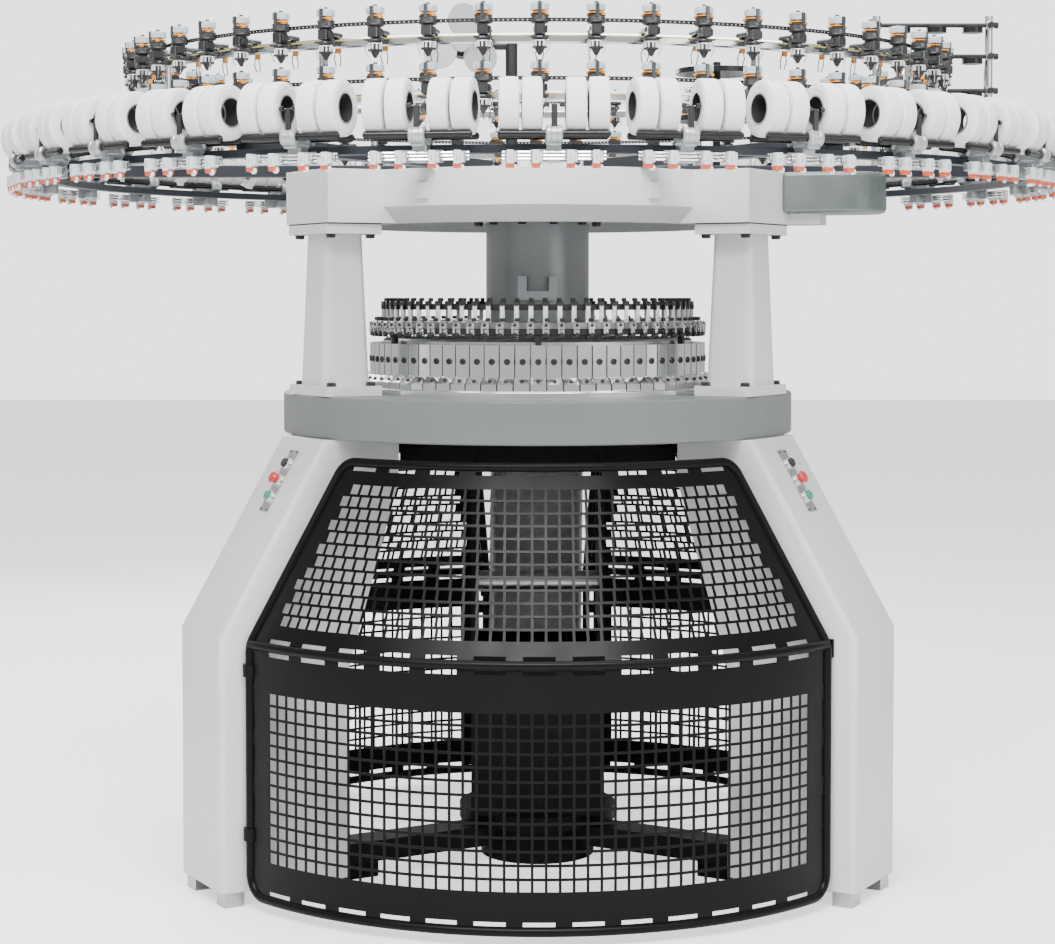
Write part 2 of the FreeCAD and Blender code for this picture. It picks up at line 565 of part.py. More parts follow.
# --- gears ------------------------------------------------------------------------------------
def gearOutline(teeth, turn):
    """Involute teeth: at each radius the half thickness shrinks by the involute of its pressure angle."""
    pitch = teeth * size("gearModule") / 2
    pressure = math.radians(20)
    foot = pitch * math.cos(pressure)

    def half(radius):
        lean = math.acos(min(1.0, foot / radius))
        middle = math.pi / (2 * teeth) - size("toothSlack") / (2 * pitch)
        return middle + math.tan(pressure) - pressure - math.tan(lean) + lean

    radii = [pitch - size("toothRoot"), pitch - size("toothTip") / 2, pitch, pitch + size("toothTip") / 2,
             pitch + size("toothTip")]
    points = []
    for tooth in range(teeth):
        middle = turn + 2 * math.pi * tooth / teeth
        for radius in radii:
            start = middle - half(radius)
            points.append(Vector(radius * math.cos(start), radius * math.sin(start)))
        for radius in reversed(radii):
            stop = middle + half(radius)
            points.append(Vector(radius * math.cos(stop), radius * math.sin(stop)))
    return Part.Face(Part.makePolygon(points + points[:1]))


def gear(label, teeth, turn, bottom, top):
    disc = gearOutline(teeth, turn).extrude(Vector(0, 0, size(top) - size(bottom)))
    disc.translate(Vector(0, 0, size(bottom)))
    return shaped(label, disc)


meshAngle = math.radians(size("pinionPlace") - 90)
gearDisc = gear("GearDisc", int(size("gearTeeth")), meshAngle, "gearBottom", "gearTop")
gearHole = primitive("Cylinder", "GearHole", {"Radius": "gearInner", "Height": "gearTop"})
keep(less("MainGear", gearDisc, gearHole), "main_gear")

pinionTurn = meshAngle + math.pi + math.pi / size("pinionTeeth")
pinionDisc = gear("PinionDisc", int(size("pinionTeeth")), pinionTurn, "gearBottom + seatGap", "gearTop")
pinionDisc.setExpression("Placement.Base.x", tied(pinionAt[0]))
pinionDisc.setExpression("Placement.Base.y", tied(pinionAt[1]))
pinionStem = primitive("Cylinder", "PinionStem", {"Radius": "pinionShaft", "Height": "gearTop - bedBottom - 1"},
                       pinionAt + ("bedBottom + 1",))
keep(fused("DrivePinion", [pinionDisc, pinionStem]), "drive_pinion")

# --- take-down --------------------------------------------------------------------------------
hangRing = turned("HangRing", [
    ("hangRingInner", "gearBottom - hangRingHeight"), ("hangRingOuter", "gearBottom - hangRingHeight"),
    ("hangRingOuter", "gearBottom"), ("hangRingInner", "gearBottom"),
])
frameTop = "gearBottom - hangRingHeight"
hangers = [block("Hanger", "cheekThick", "hangRingOuter - hangerInset", "hangerWidth",
                 (side, "-(hangRingOuter - hangerInset) / 2", frameTop + " - hangerWidth + hangerSink"))
           for side in ("-cheekGap / 2 - cheekThick", "cheekGap / 2")]
bridges = [block("Bridge", "2 * hangRingOuter - 2 * bridgeInset", "cheekThick", "hangerWidth",
                 ("-hangRingOuter + bridgeInset", depth, frameTop + " - hangerWidth + hangerSink"))
           for depth in ("-cheekDepth / 2", "cheekDepth / 2 - cheekThick")]
cheekPosts = [block("CheekPost", "cheekThick", "2 * cheekThick", frameTop + " - coverTop",
                    (side, depth, "coverTop - hangerSink"))
              for side in ("-cheekGap / 2 - cheekThick", "cheekGap / 2")
              for depth in ("-cheekDepth / 2", "cheekDepth / 2 - 2 * cheekThick")]
rollerCheeks = [block("RollerCheek", "cheekThick", "cheekDepth", "8 * drawRadius",
                      (side, "-cheekDepth / 2", "drawHeight - 4 * drawRadius"))
                for side in ("-cheekGap / 2 - cheekThick", "cheekGap / 2")]
lowerCheeks = [block("LowerCheek", "cheekThick", "cheekDepth", "coverTop - cheekBottom",
                     (side, "-cheekDepth / 2", "cheekBottom"))
               for side in ("-cheekGap / 2 - cheekThick", "cheekGap / 2")]
covers = [block("Cover", "cheekGap + 2", "coverThick", "coverTop - cheekBottom",
                ("-cheekGap / 2 - 1", depth, "cheekBottom"))
          for depth in ("-cheekDepth / 2", "cheekDepth / 2 - coverThick")]
table = primitive("Cylinder", "TurnTable", {"Radius": "tableRadius", "Height": "tableHeight"},
                  ("0", "0", "tableBottom"))
spigot = primitive("Cylinder", "Spigot", {"Radius": "spigotRadius", "Height": "hubHeight / 2"},
                   ("0", "0", "tableBottom - hubHeight / 2 + 2"))
frameSolid = fused("TakedownSolid", [hangRing, table, spigot] + hangers + bridges + cheekPosts
                   + rollerCheeks + lowerCheeks + covers)
alongX = Rotation(Vector(0, 1, 0), 90)


def axleHole(level):
    return primitive("Cylinder", "AxleHole",
                     {"Radius": "axleRadius + shaftFit", "Height": "cheekGap + 4 * cheekThick"},
                     ("-cheekGap / 2 - 2 * cheekThick", "0", level), alongX)


keep(less("TakedownFrame", frameSolid, fused("AxleHoles", [axleHole("drawHeight"), axleHole("clothHeight")])),
     "takedown_frame")
for name, radius, level in (("draw_roller", "drawRadius", "drawHeight"),
                            ("cloth_roller", "clothRadius", "clothHeight")):
    barrel = primitive("Cylinder", "Barrel", {"Radius": radius, "Height": "cheekGap - 2 * axlePlay"},
                       ("-cheekGap / 2 + axlePlay", "0", level), alongX)
    axle = primitive("Cylinder", "Axle", {"Radius": "axleRadius", "Height": "cheekGap + 2 * cheekThick"},
                     ("-cheekGap / 2 - cheekThick", "0", level), alongX)
    keep(fused(name + "Fused", [barrel, axle]), name)


# --- guard doors ------------------------------------------------------------------------------
def polar(radius, azimuth, level):
    turn = math.radians(azimuth)
    return Vector(radius * math.sin(turn), -radius * math.cos(turn), level)


def tubeAlong(edge, radius):
    """A round tube over one line or arc."""
    start = edge.valueAt(edge.FirstParameter)
    section = Part.Face(Part.Wire(Part.makeCircle(radius, start, edge.tangentAt(edge.FirstParameter))))
    if isinstance(edge.Curve, Part.Circle):
        sweep = math.degrees(edge.LastParameter - edge.FirstParameter)
        return section.revolve(edge.Curve.Center, edge.Curve.Axis, sweep)
    return section.extrude(edge.valueAt(edge.LastParameter) - start)


def bend(before, corner, after, reach):
    """The arc that rounds a corner, touching both sides at a distance of reach from it."""
    back = (before - corner).normalize()
    ahead = (after - corner).normalize()
    halfTurn = back.getAngle(ahead) / 2
    toMiddle = reach / math.cos(halfTurn) - reach * math.tan(halfTurn)
    middle = corner + (back + ahead).normalize() * toMiddle
    return Part.Arc(corner + back * reach, middle, corner + ahead * reach).toShape()


def doorBends(side):
    """The three bends of an upright tube: the point before, the corner, the point after and the reach."""
    radius, topRadius = size("doorRadius"), size("doorTopRadius")
    lowBend, topBend = size("cornerLow"), size("cornerTop")
    lowEnd = size("doorAngle") - math.degrees(math.atan(lowBend / radius))
    topEnd = size("doorTopAngle") - math.degrees(math.atan(topBend / topRadius))
    lowTouch = polar(radius, side * lowEnd, size("doorBottom"))
    lowCorner = lowTouch + polar(1, side * (lowEnd + 90), 0) * lowBend
    topTouch = polar(topRadius, side * topEnd, size("doorTop"))
    topCorner = topTouch + polar(1, side * (topEnd + 90), 0) * topBend
    knee = Vector(lowCorner.x, lowCorner.y, size("doorKnee"))
    return [(lowTouch, lowCorner, knee, lowBend), (lowCorner, knee, topCorner, size("cornerKnee")),
            (knee, topCorner, topTouch, topBend)]


def arcBetween(radius, end, level):
    return Part.Arc(polar(radius, -end, level), polar(radius, 0, level), polar(radius, end, level)).toShape()


def doorTubes():
    lowTouch, topTouch = doorBends(1)[0][0], doorBends(1)[2][2]
    edges = [arcBetween(math.hypot(touch.x, touch.y), math.degrees(math.atan2(touch.x, -touch.y)), touch.z)
             for touch in (lowTouch, topTouch)]
    for side in (-1, 1):
        bends = doorBends(side)
        edges += [bend(*corner) for corner in bends]
        for lower, upper in zip(bends, bends[1:]):
            along = (upper[1] - lower[1]).normalize()
            edges.append(Part.LineSegment(lower[1] + along * lower[3], upper[1] - along * upper[3]).toShape())
    edges.append(arcBetween(math.hypot(size("doorRadius"), size("cornerLow")), size("doorAngle"), size("doorKnee")))
    tubes = [tubeAlong(edge, size("tubeRadius")) for edge in edges]
    return tubes[0].multiFuse(tubes[1:])


def cornerTrim(before, corner, after, reach):
    """A cutter that rounds a sheet's corner inside a bent tube, and leaves the sheet clear of it."""
    arc = bend(before, corner, after, reach)
    centre, axis = arc.Curve.Center, arc.Curve.Axis
    half = 8 * size("sheetThick")
    kite = [centre, arc.Vertexes[0].Point, corner, arc.Vertexes[1].Point]
    prism = Part.Face(Part.makePolygon([point - axis * half for point in kite + kite[:1]])).extrude(axis * 2 * half)
    clear = arc.Curve.Radius - size("tubeRadius + sheetEase")
    return prism.cut(Part.makeCylinder(clear, 2 * half, centre - axis * half, axis))


def slopeLine():
    """The sheet line of the upper panel in a plane through the axis: lower radius, level and direction."""
    lowRadius = math.hypot(size("doorRadius"), size("cornerLow"))
    fall, rise = lowRadius - size("doorTopRadius"), size("doorTop - doorKnee")
    return lowRadius, fall / math.hypot(fall, rise), rise / math.hypot(fall, rise), math.hypot(fall, rise)


def revolvedSheet(start, end, leanIn, leanUp, halfAngle):
    """A curved sheet: a thin strip from start to end of the sheet line, turned round the axis."""
    lowRadius, level = start
    thick = size("sheetThick") / 2
    corners = []
    for along, out in ((0, -thick), (end, -thick), (end, thick), (0, thick)):
        reach = lowRadius - along * leanIn + out * leanUp
        corners.append(Vector(0, -reach, level + along * leanUp + out * leanIn))
    strip = Part.Face(Part.makePolygon(corners + corners[:1]))
    strip.rotate(Vector(), upright, -halfAngle)
    return strip.revolve(Vector(), upright, 2 * halfAngle)


def punch(wide, tall, lowRadius, level, leanIn, leanUp, along, azimuth, turn=0.0):
    """A cutter for one hole, square to the sheet at a distance along the sheet line and an azimuth."""
    deep = 8 * size("sheetThick")
    box = Part.makeBox(wide, deep, tall, Vector(-wide / 2, -deep / 2, -tall / 2))
    lean = math.degrees(math.atan2(leanIn, leanUp))
    place = polar(lowRadius - along * leanIn, 0, level + along * leanUp)
    tilt = Rotation(Vector(1, 0, 0), -lean).multiply(Rotation(Vector(0, 1, 0), turn))
    box.Placement = spun(azimuth).multiply(Placement(place, tilt))
    return box


def countedBoth(alias):
    """Whole numbers from minus a count to plus that count."""
    return range(-int(size(alias)), int(size(alias)) + 1)


def lowerSheet():
    tube = size("tubeRadius")
    radius = math.hypot(size("doorRadius"), size("cornerLow"))
    bottom, top = size("doorBottom") + tube, size("doorKnee") - tube
    edge = size("doorAngle") - math.degrees(tube / radius)
    sheet_ = revolvedSheet((radius, bottom), top - bottom, 0, 1, edge)
    pitch = size("holePitch")
    hole = size("holeSize")
    columns, rows = int(size("lowerColumns")), int(size("lowerRows"))
    cutters = []
    for column_ in range(columns):
        azimuth = math.degrees((column_ - (columns - 1) / 2) * pitch / radius)
        for line in range(rows):
            cutters.append(punch(hole, hole, radius, size("lowerFirst") + line * pitch, 0, 1, 0, azimuth))
    long, wide = size("slotLong"), size("slotWide")
    span = math.degrees(size("slotPitch") / radius)
    # the slots lie open to the tube, so that each cutter runs past the sheet's edge
    for level in (bottom, top):
        for index in countedBoth("lowerSlots"):
            cutters.append(punch(long, 2 * wide, radius, level, 0, 1, 0, index * span))
    for azimuth in (-edge, edge):
        for index in range(int(size("sideSlots"))):
            level = bottom + size("cornerLow") + long / 2 + index * size("slotPitch")
            cutters.append(punch(2 * wide, long, radius, level, 0, 1, 0, azimuth))
    # rounded lower corners, and notches that let the hinge sleeves pass
    notches = [cornerTrim(*doorBends(side)[0]) for side in (-1, 1)]
    tall = size("hingeHeight + 2 * notchEase")
    for azimuth in (-edge, edge):
        for low in ("hingeLow", "hingeHigh"):
            level = size(low + " + hingeHeight / 2")
            notches.append(punch(2 * wide, tall, radius, level, 0, 1, 0, azimuth))
    return sheet_.cut(Part.makeCompound(cutters)).cut(Part.makeCompound(notches))


def upperSheet():
    tube, pitch, hole = size("tubeRadius"), size("holePitch"), size("holeSize")
    lowRadius, leanIn, leanUp, slope = slopeLine()
    level = size("doorKnee")
    start = (lowRadius - tube * leanIn, level + tube * leanUp)
    sheet_ = revolvedSheet(start, slope - 2 * tube, leanIn, leanUp, size("doorAngle"))
    topAngle = size("doorTopAngle")
    foot, head = polar(lowRadius, size("doorAngle"), level), polar(size("doorTopRadius"), topAngle, size("doorTop"))
    along = (head - foot).normalize()
    middle = math.radians((size("doorAngle") + topAngle) / 2)
    outward = Vector(math.sin(middle) * leanUp, -math.cos(middle) * leanUp, leanIn)
    sideways = along.cross(outward).normalize()
    if sideways.x < 0:
        sideways = sideways * -1
    base = foot - along * slope - sideways * size("tubeRadius + 2 * shaftFit")
    half = outward * size("doorTop - doorKnee") / 2
    blade = [base - half, base + half, base + half + along * 3 * slope, base - half + along * 3 * slope]
    trim = Part.Face(Part.makePolygon(blade + blade[:1])).extrude(sideways * slope)
    sheet_ = sheet_.cut(Part.makeCompound([trim, trim.mirror(Vector(), Vector(1, 0, 0))]))

    def sideAngle(distance):
        share = distance / slope
        return size("doorAngle") * (1 - share) + topAngle * share

    rows = int(size("upperRows"))
    first = (slope - (rows - 1) * pitch) / 2
    cutters = []
    for line in range(rows):
        distance = first + line * pitch
        radius = lowRadius - distance * leanIn
        reach = math.radians(sideAngle(distance)) * radius - size("meshMargin") - hole / 2
        half = int(reach / pitch)
        for index in range(-half, half + 1):
            azimuth = math.degrees(index * pitch / radius)
            cutters.append(punch(hole, hole, lowRadius, level, leanIn, leanUp, distance, azimuth))
    long, wide = size("slotLong"), size("slotWide")
    for distance, count in ((tube, "kneeSlots"), (slope - tube, "topSlots")):
        radius = lowRadius - distance * leanIn
        for index in countedBoth(count):
            azimuth = math.degrees(index * size("slotPitch") / radius)
            cutters.append(punch(long, 2 * wide, lowRadius, level, leanIn, leanUp, distance, azimuth))
    cutters += [cornerTrim(*doorBends(side)[2]) for side in (-1, 1)]
    return sheet_.cut(Part.makeCompound(cutters))


tubeFrame = doorTubes()
sheets = [lowerSheet(), upperSheet()]
doorNames = dict(zip(thirds, ("front", "right", "left")))
for azimuth, name in doorNames.items():
    frame = keep(shaped("DoorFrame", tubeFrame), "door_%s_frame" % name)
    frame.Placement = spun(azimuth)
    panels = keep(shaped("DoorSheets", Part.makeCompound(sheets)), "door_%s_sheets" % name)
    panels.Placement = spun(azimuth)

# the hinge sleeves run on the door's upright tube, on an arm from the leg's side; the catches face them
hingeLean = 60 - size("doorAngle")
hingeRadius = math.hypot(size("doorRadius"), size("cornerLow"))
hingeX = hingeRadius * math.sin(math.radians(hingeLean))
hingeY = -hingeRadius * math.cos(math.radians(hingeLean))


def fitting(level, height, side):
    legSide = size("legWidth / 2")
    arm, sleeve = size("hingeArm"), size("hingeOuter")
    if side < 0:
        wide = hingeX - size("tubeRadius") - size("seatGap") - legSide
        return Part.makeBox(wide, arm, height, Vector(-legSide - wide, hingeY - arm / 2, level))
    ring = Part.makeCylinder(sleeve, height, Vector(hingeX, hingeY, level))
    plate = Part.makeBox(hingeX - legSide, arm, height, Vector(legSide, hingeY - arm / 2, level))
    bore = Part.makeCylinder(size("tubeRadius + shaftFit"), height, Vector(hingeX, hingeY, level))
    return ring.fuse(plate).cut(bore)


hinges = [shaped("Hinge", fitting(size(level), size("hingeHeight"), 1)) for level in ("hingeLow", "hingeHigh")]
catch = shaped("Catch", fitting(size("catchPlace"), size("catchHeight"), -1))
ringed("door_fittings", hinges + [catch], 3, 60)

# --- button plates ----------------------------------------------------------------------------
slopeRise, slopeRun = size("bedBottom - legKnee"), size("legOuter - " + legTopOuter)
slopeAngle = math.degrees(math.atan2(slopeRise, slopeRun))
plateFace = size("legOuter") - (size("plateHeight - legKnee") / slopeRise) * slopeRun
onSlope = Placement(Vector(0, -plateFace, size("plateHeight")), Rotation(Vector(1, 0, 0), slopeAngle))
buttonRows = {"black": 1, "red": 0, "green": -1}

plateParts = [block("Plate", "plateWide", "plateLong", "plateThick", ("-plateWide / 2", "-plateLong / 2", "0"))]
holes = []
for row in buttonRows.values():
    height = "%d * buttonPitch" % row
    plateParts.append(primitive("Cylinder", "Bezel", {"Radius": "ringOuter", "Height": "ringHeight"},
                                ("0", height, "plateThick / 2")))
    holes.append(primitive("Cylinder", "BezelHole", {"Radius": "ringInner", "Height": "4 * ringHeight"},
                           ("0", height, "-ringHeight")))
plate = less("ButtonPlate", fused("PlateFused", plateParts), fused("PlateHoles", holes))
plates = solidsOf([plate], [spun(azimuth).multiply(onSlope) for azimuth in (-60, 60)])
keep(shaped("button_plates", Part.makeCompound(plates)), "button_plates")

for side, azimuth in (("left", -60), ("right", 60)):
    for colour, row in buttonRows.items():
        body = turned("Button", [("0", "buttonStart"), ("buttonRadius", "buttonStart"),
                                 ("buttonRadius", "buttonEnd - buttonRound"),
                                 ("buttonRadius - buttonRound", "buttonEnd"),
                                 ("0", "buttonEnd")] if colour != "red" else
                      [("0", "buttonStart"), ("buttonRadius", "buttonStart"), ("buttonRadius", "mushroomStart"),
                       ("mushroomRadius", "mushroomStart + mushroomNeck"),
                       ("mushroomRadius - mushroomRound", "mushroomStart + mushroomHeight"),
                       ("0", "mushroomStart + mushroomHeight")])
        place = Placement(Vector(0, row * size("buttonPitch"), 0), Rotation())
        body.Placement = spun(azimuth).multiply(onSlope).multiply(place)
        keep(body, "button_%s_%s" % (colour, side))

# --- creel: arms, ring and uprights -----------------------------------------------------------
spokes = range(30, 390, 60)
creelArm = block("CreelArm", "creelArmWidth", "creelArmOuter - creelArmInner", "creelArmHeight",
                 ("-creelArmWidth / 2", "-creelArmOuter", "crownTop"))
ringed("creel_arms", [creelArm], 6, 30)
keep(turned("CreelRing", [
    ("creelRingInner", "crownTop - creelRingHeight"), ("creelRingOuter", "crownTop - creelRingHeight"),
    ("creelRingOuter", "crownTop"), ("creelRingInner", "crownTop"),
]), "creel_ring")

armTop = "crownTop + creelArmHeight"
upright_ = primitive("Cylinder", "Upright", {"Radius": "postRadius", "Height": "postTop - (%s)" % armTop},
                     ("0", "-postPlace", armTop))
holders = [block("RailHolder", "railHolder", "railInner - postPlace", "railHolder",
                 ("-railHolder / 2", "-railInner", "%s - railDrop - railHolder / 2" % belt))
           for belt in ("upperBelt", "lowerBelt")]
post = fused("CreelPost", [upright_] + holders)
tensionUprights = [primitive("Cylinder", "TensionUpright",
                             {"Radius": "tensionRod", "Height": "tensionTop - (%s)" % armTop},
                             (place, "0", armTop)) for place in ("rodNear", "rodFar")]
posts = solidsOf([post], [spun(spoke) for spoke in spokes]) + solidsOf(tensionUprights, [Placement()])
keep(shaped("creel_posts", Part.makeCompound(posts)), "creel_posts")

# --- elastane units ---------------------------------------------------------------------------
unitBlock = block("UnitHub", "hubWide", "hubDepth", "hubTop - crownTop",
                  ("-hubWide / 2", "-unitPlace - hubDepth / 2", "crownTop"))
stem = block("UnitStem", "stemDepth", "rodPlace - rodRadius - hubInner", "crownTop - stemBottom + 1",
             ("-stemDepth / 2", "-rodPlace + rodRadius", "stemBottom"))
rollers = [primitive("Cylinder", "Roller", {"Radius": "rollerRadius", "Height": "rollerLong"},
                     ("-rollerLong / 2", "-unitPlace %s rollerSpread" % sign, "rollerHeight"), alongX)
           for sign in ("-", "+")]
rollerHoles = [primitive("Cylinder", "RollerHole", {"Radius": "rollerRadius + shaftFit", "Height": "rollerLong"},
                         ("-rollerLong / 2", "-unitPlace %s rollerSpread" % sign, "rollerHeight"), alongX)
               for sign in ("-", "+")]
bracket = less("UnitBracket", fused("UnitFused", [unitBlock, stem]), fused("RollerHoles", rollerHoles))
units = int(size("unitCount"))
unitTurn = size("unitTurn")
ringed("roller_brackets", [bracket], units, unitTurn)
ringed("elastane_rollers", rollers, units, unitTurn, skip=(0,))
for name, roller in zip(("front_roller_outer", "front_roller_inner"), rollers):
    keep(shaped(name, Part.makeCompound(solidsOf([roller], [spun(unitTurn)]))), name)

bobbinBody = turned("Bobbin", [
    ("bobbinBore", "0"), ("bobbinRadius - bobbinEdge", "0"), ("bobbinRadius", "bobbinEdge"),
    ("bobbinRadius", "bobbinWide - bobbinEdge"), ("bobbinRadius - bobbinEdge", "bobbinWide"),
    ("bobbinBore", "bobbinWide"),
])
touching = math.sqrt(size("bobbinRadius + rollerRadius + seatGap") ** 2 - size("rollerSpread") ** 2)
bobbinHeight = size("rollerHeight") + touching
bobbinStarts = [size("bobbinGap / 2"), size("bobbinGap / 2 + bobbinWide + bobbinPair")]
bobbinPlaces = [Placement(Vector(start, -size("unitPlace"), bobbinHeight), alongX)
                for edge in bobbinStarts for start in (edge, -edge - size("bobbinWide"))]
bobbinSolids = solidsOf([bobbinBody], bobbinPlaces)
bobbinGroup = shaped("BobbinGroup", Part.makeCompound(bobbinSolids))
ringed("bobbins", [bobbinGroup], units, unitTurn, skip=(0,))
ringed("front_bobbins", [bobbinGroup], 1, unitTurn)

# --- yarn sensors -----------------------------------------------------------------------------
sensorRods = [primitive("Cylinder", "SensorRod", {"Radius": "rodRadius", "Height": "rodLong"},
                        ("-rodLong / 2", "-rodPlace", level), alongX) for level in ("rodHigh", "rodLow")]
ringed("sensor_rods", sensorRods, units, unitTurn)
sensorSides = ("sensorNear", "-sensorNear", "sensorFar", "-sensorFar")
sensorFront = "-rodPlace - rodRadius - sensorDeep"
sensors = [block("Sensor", "sensorWide", "sensorDeep", "sensorTop - sensorBottom",
                 (side + " - sensorWide / 2", sensorFront, "sensorBottom")) for side in sensorSides]
flags = [block("Flag", "flagWide", "sensorDeep - 2 * flagInset", "flagHeight",
               (side + " - flagWide / 2", sensorFront + " + flagInset", "sensorBottom - flagHeight"))
         for side in sensorSides]
ringed("sensor_bodies", sensors, units, unitTurn)
ringed("sensor_flags", flags, units, unitTurn)

# --- positive feeders -------------------------------------------------------------------------
rings, belts = [], []
for belt in ("upperBelt", "lowerBelt"):
    rings.append(turned("Rail", [
        ("railInner", belt + " - railDrop - railHeight / 2"), ("railOuter", belt + " - railDrop - railHeight / 2"),
        ("railOuter", belt + " - railDrop + railHeight / 2"), ("railInner", belt + " - railDrop + railHeight / 2"),
    ]))
    belts.append(turned("Belt", [
        ("beltOuter - beltThick", belt + " - beltHeight / 2"), ("beltOuter", belt + " - beltHeight / 2"),
        ("beltOuter", belt + " + beltHeight / 2"), ("beltOuter - beltThick", belt + " + beltHeight / 2"),
    ]))
keep(shaped("feeder_rails", Part.makeCompound(solidsOf(rings, [Placement()]))), "feeder_rails")
keep(shaped("feeder_belts", Part.makeCompound(solidsOf(belts, [Placement()]))), "feeder_belts")

# heights of a feeder are counted down from the foot of its stack, so that every corner is positive
stackFoot = "coneBottom"
wheelTurned = turned("FeederWheel", [
    ("0", "0"), ("coneTip", "0"), ("feederWheel / 2", stackFoot + " - wheelBottom"),
    ("feederWheel", stackFoot + " - wheelBottom"), ("feederWheel", stackFoot + " - sleeveBottom - wheelGap"),
    ("feederShaft", stackFoot + " - sleeveBottom - wheelGap"), ("feederShaft", stackFoot + " - pulleyHalf"),
    ("feederPulley", stackFoot + " - pulleyHalf"), ("feederPulley", stackFoot + " + pulleyHalf"),
    ("feederCap", stackFoot + " + capTop - capDrop + wheelGap"), ("feederCap", stackFoot + " + capTop - capRound"),
    ("feederCap - capRound", stackFoot + " + capTop"), ("topKnobRadius", stackFoot + " + capTop"),
    ("topKnobRadius", stackFoot + " + topKnobEnd"), ("0", stackFoot + " + topKnobEnd"),
])
sleeve = turned("FeederSleeve", [
    ("feederShaft + shaftFit", stackFoot + " - sleeveBottom"), ("housingSleeve", stackFoot + " - sleeveBottom"),
    ("housingSleeve", stackFoot + " - sleeveTop"), ("feederShaft + shaftFit", stackFoot + " - sleeveTop"),
])
clampReach = "feederPlace - railOuter - housingSleeve + clampSink"
clamp = block("FeederClamp", "clampWide", clampReach, "clampBottom - clampTop",
              ("-clampWide / 2", "housingSleeve - clampSink", stackFoot + " - clampBottom"))
feederBody = fused("FeederBody", [sleeve, clamp])
feeders = int(size("feederCount"))
beltFeet = [size("upperBelt - coneBottom"), size("lowerBelt - coneBottom")]
feederStep = 360.0 / feeders
stackPlaces = [spun(feederStep * index).multiply(Placement(Vector(0, -size("feederPlace"), foot), Rotation()))
               for foot in beltFeet for index in range(feeders)]
keep(shaped("feeder_bodies", Part.makeCompound(solidsOf([feederBody], stackPlaces))), "feeder_bodies")
keep(shaped("feeder_wheels", Part.makeCompound(solidsOf([wheelTurned], stackPlaces[1:]))), "feeder_wheels")
keep(shaped("feeder_wheel_front", Part.makeCompound(solidsOf([wheelTurned], stackPlaces[:1]))),
     "feeder_wheel_front")

# --- belt drive and tension frame -------------------------------------------------------------
discs = [primitive("Cylinder", "DriveDisc", {"Radius": "driveDiscRadius", "Height": "driveDiscHeight"},
                   ("driveX", "driveY", belt + " - driveDiscHeight / 2")) for belt in ("upperBelt", "lowerBelt")]
driveStem = primitive("Cylinder", "DriveStem",
                      {"Radius": "driveShaft", "Height": "upperBelt + driveAbove - crownTop + crownPlate / 4"},
                      ("driveX", "driveY", "crownTop - crownPlate / 4"))
keep(fused("QualityPulleys", discs + [driveStem]), "quality_pulleys")

barLevels = ("barHigh", "barMiddle", "barLow")
bars = [block("TensionBar", "barLong", "barThick", "barThick",
              ("barStart", "-tensionRod - barThick", level + " - barThick / 2")) for level in barLevels]
keep(shaped("tension_bars", Part.makeCompound(solidsOf(bars, [Placement()]))), "tension_bars")
spoolParts = []
for level, places in (("barHigh", (0, 1, 2)), ("barMiddle", (0, 2)), ("barLow", (0, 2))):
    for place in places:
        spoolParts.append(primitive("Cylinder", "Spool", {"Radius": "spoolRadius", "Height": "spoolHeight"}, (
            "barStart + spoolPlace + %d * spoolPitch" % place, "-tensionRod - spoolRadius",
            level + " - barThick / 2 - spoolHeight")))
keep(shaped("tension_pulleys", Part.makeCompound(solidsOf(spoolParts, [Placement()]))), "tension_pulleys")

# --- fan --------------------------------------------------------------------------------------
fanAxisY = Rotation(Vector(1, 0, 0), 90)
fanPost = primitive("Cylinder", "FanPost", {"Radius": "fanPost", "Height": "fanHeight - crownTop + crownPlate / 2"},
                    ("-crownBore - fanPost", "0", "crownTop"))
fanArm = primitive("Cylinder", "FanArm", {"Radius": "fanPost * 0.7", "Height": "fanX - crownBore - fanPost"},
                   ("-fanX", "0", "fanHeight"), alongX)
fanMotor = primitive("Cylinder", "FanMotor", {"Radius": "fanMotor", "Height": "fanMotorLong"},
                     ("-fanX", "fanMotorLong / 2", "fanHeight"), fanAxisY)
fanBore = primitive("Cylinder", "FanBore", {"Radius": "fanShaft + shaftFit", "Height": "fanMotorLong"},
                    ("-fanX", "0", "fanHeight"), fanAxisY)
keep(less("FanMount", fused("FanFused", [fanPost, fanArm, fanMotor]), fanBore), "fan_mount")

bladeFront = "-fanMotorLong / 2"
fanHub = primitive("Cylinder", "FanHub", {"Radius": "fanHub", "Height": "fanHub"},
                   ("-fanX", bladeFront + " - seatGap - fanGap", "fanHeight"), fanAxisY)
fanStem = primitive("Cylinder", "FanStem", {"Radius": "fanShaft", "Height": "fanMotorLong / 3 + stemSink"},
                    ("-fanX", bladeFront + " + fanMotorLong / 3", "fanHeight"), fanAxisY)
# each blade is a flat oval petal that starts inside the hub
petalHalf, petalReach = size("bladeWide / 2"), size("fanBlade - bladeStart") / 2
petal = [Vector(petalHalf * math.sin(turn), 0, size("bladeStart") + petalReach * (1 - math.cos(turn)))
         for turn in [math.radians(360 / 16 * index) for index in range(16)]]
bladePlace = bladeFront + " - seatGap - fanGap - fanHub / 2 - bladeThick / 2"
bladeSolids = []
for turn in (83, 203, 323):
    blade = Part.Face(Part.makePolygon(petal + petal[:1])).extrude(Vector(0, size("bladeThick"), 0))
    blade.rotate(Vector(), upright, size("bladeTilt"))
    blade.rotate(Vector(), Vector(0, 1, 0), 90 - turn)
    blade.translate(Vector(-size("fanX"), size(bladePlace), size("fanHeight")))
    bladeSolids.append(shaped("Blade", blade))
keep(fused("FanBlades", [fanHub, fanStem] + bladeSolids), "fan_blades")

# --- checks and export ------------------------------------------------------------------------
doc.recompute()
for thing in doc.Objects:
    if "Invalid" in thing.State or "Error" in thing.State:
        raise RuntimeError("%s failed: %s" % (thing.Label, thing.State))

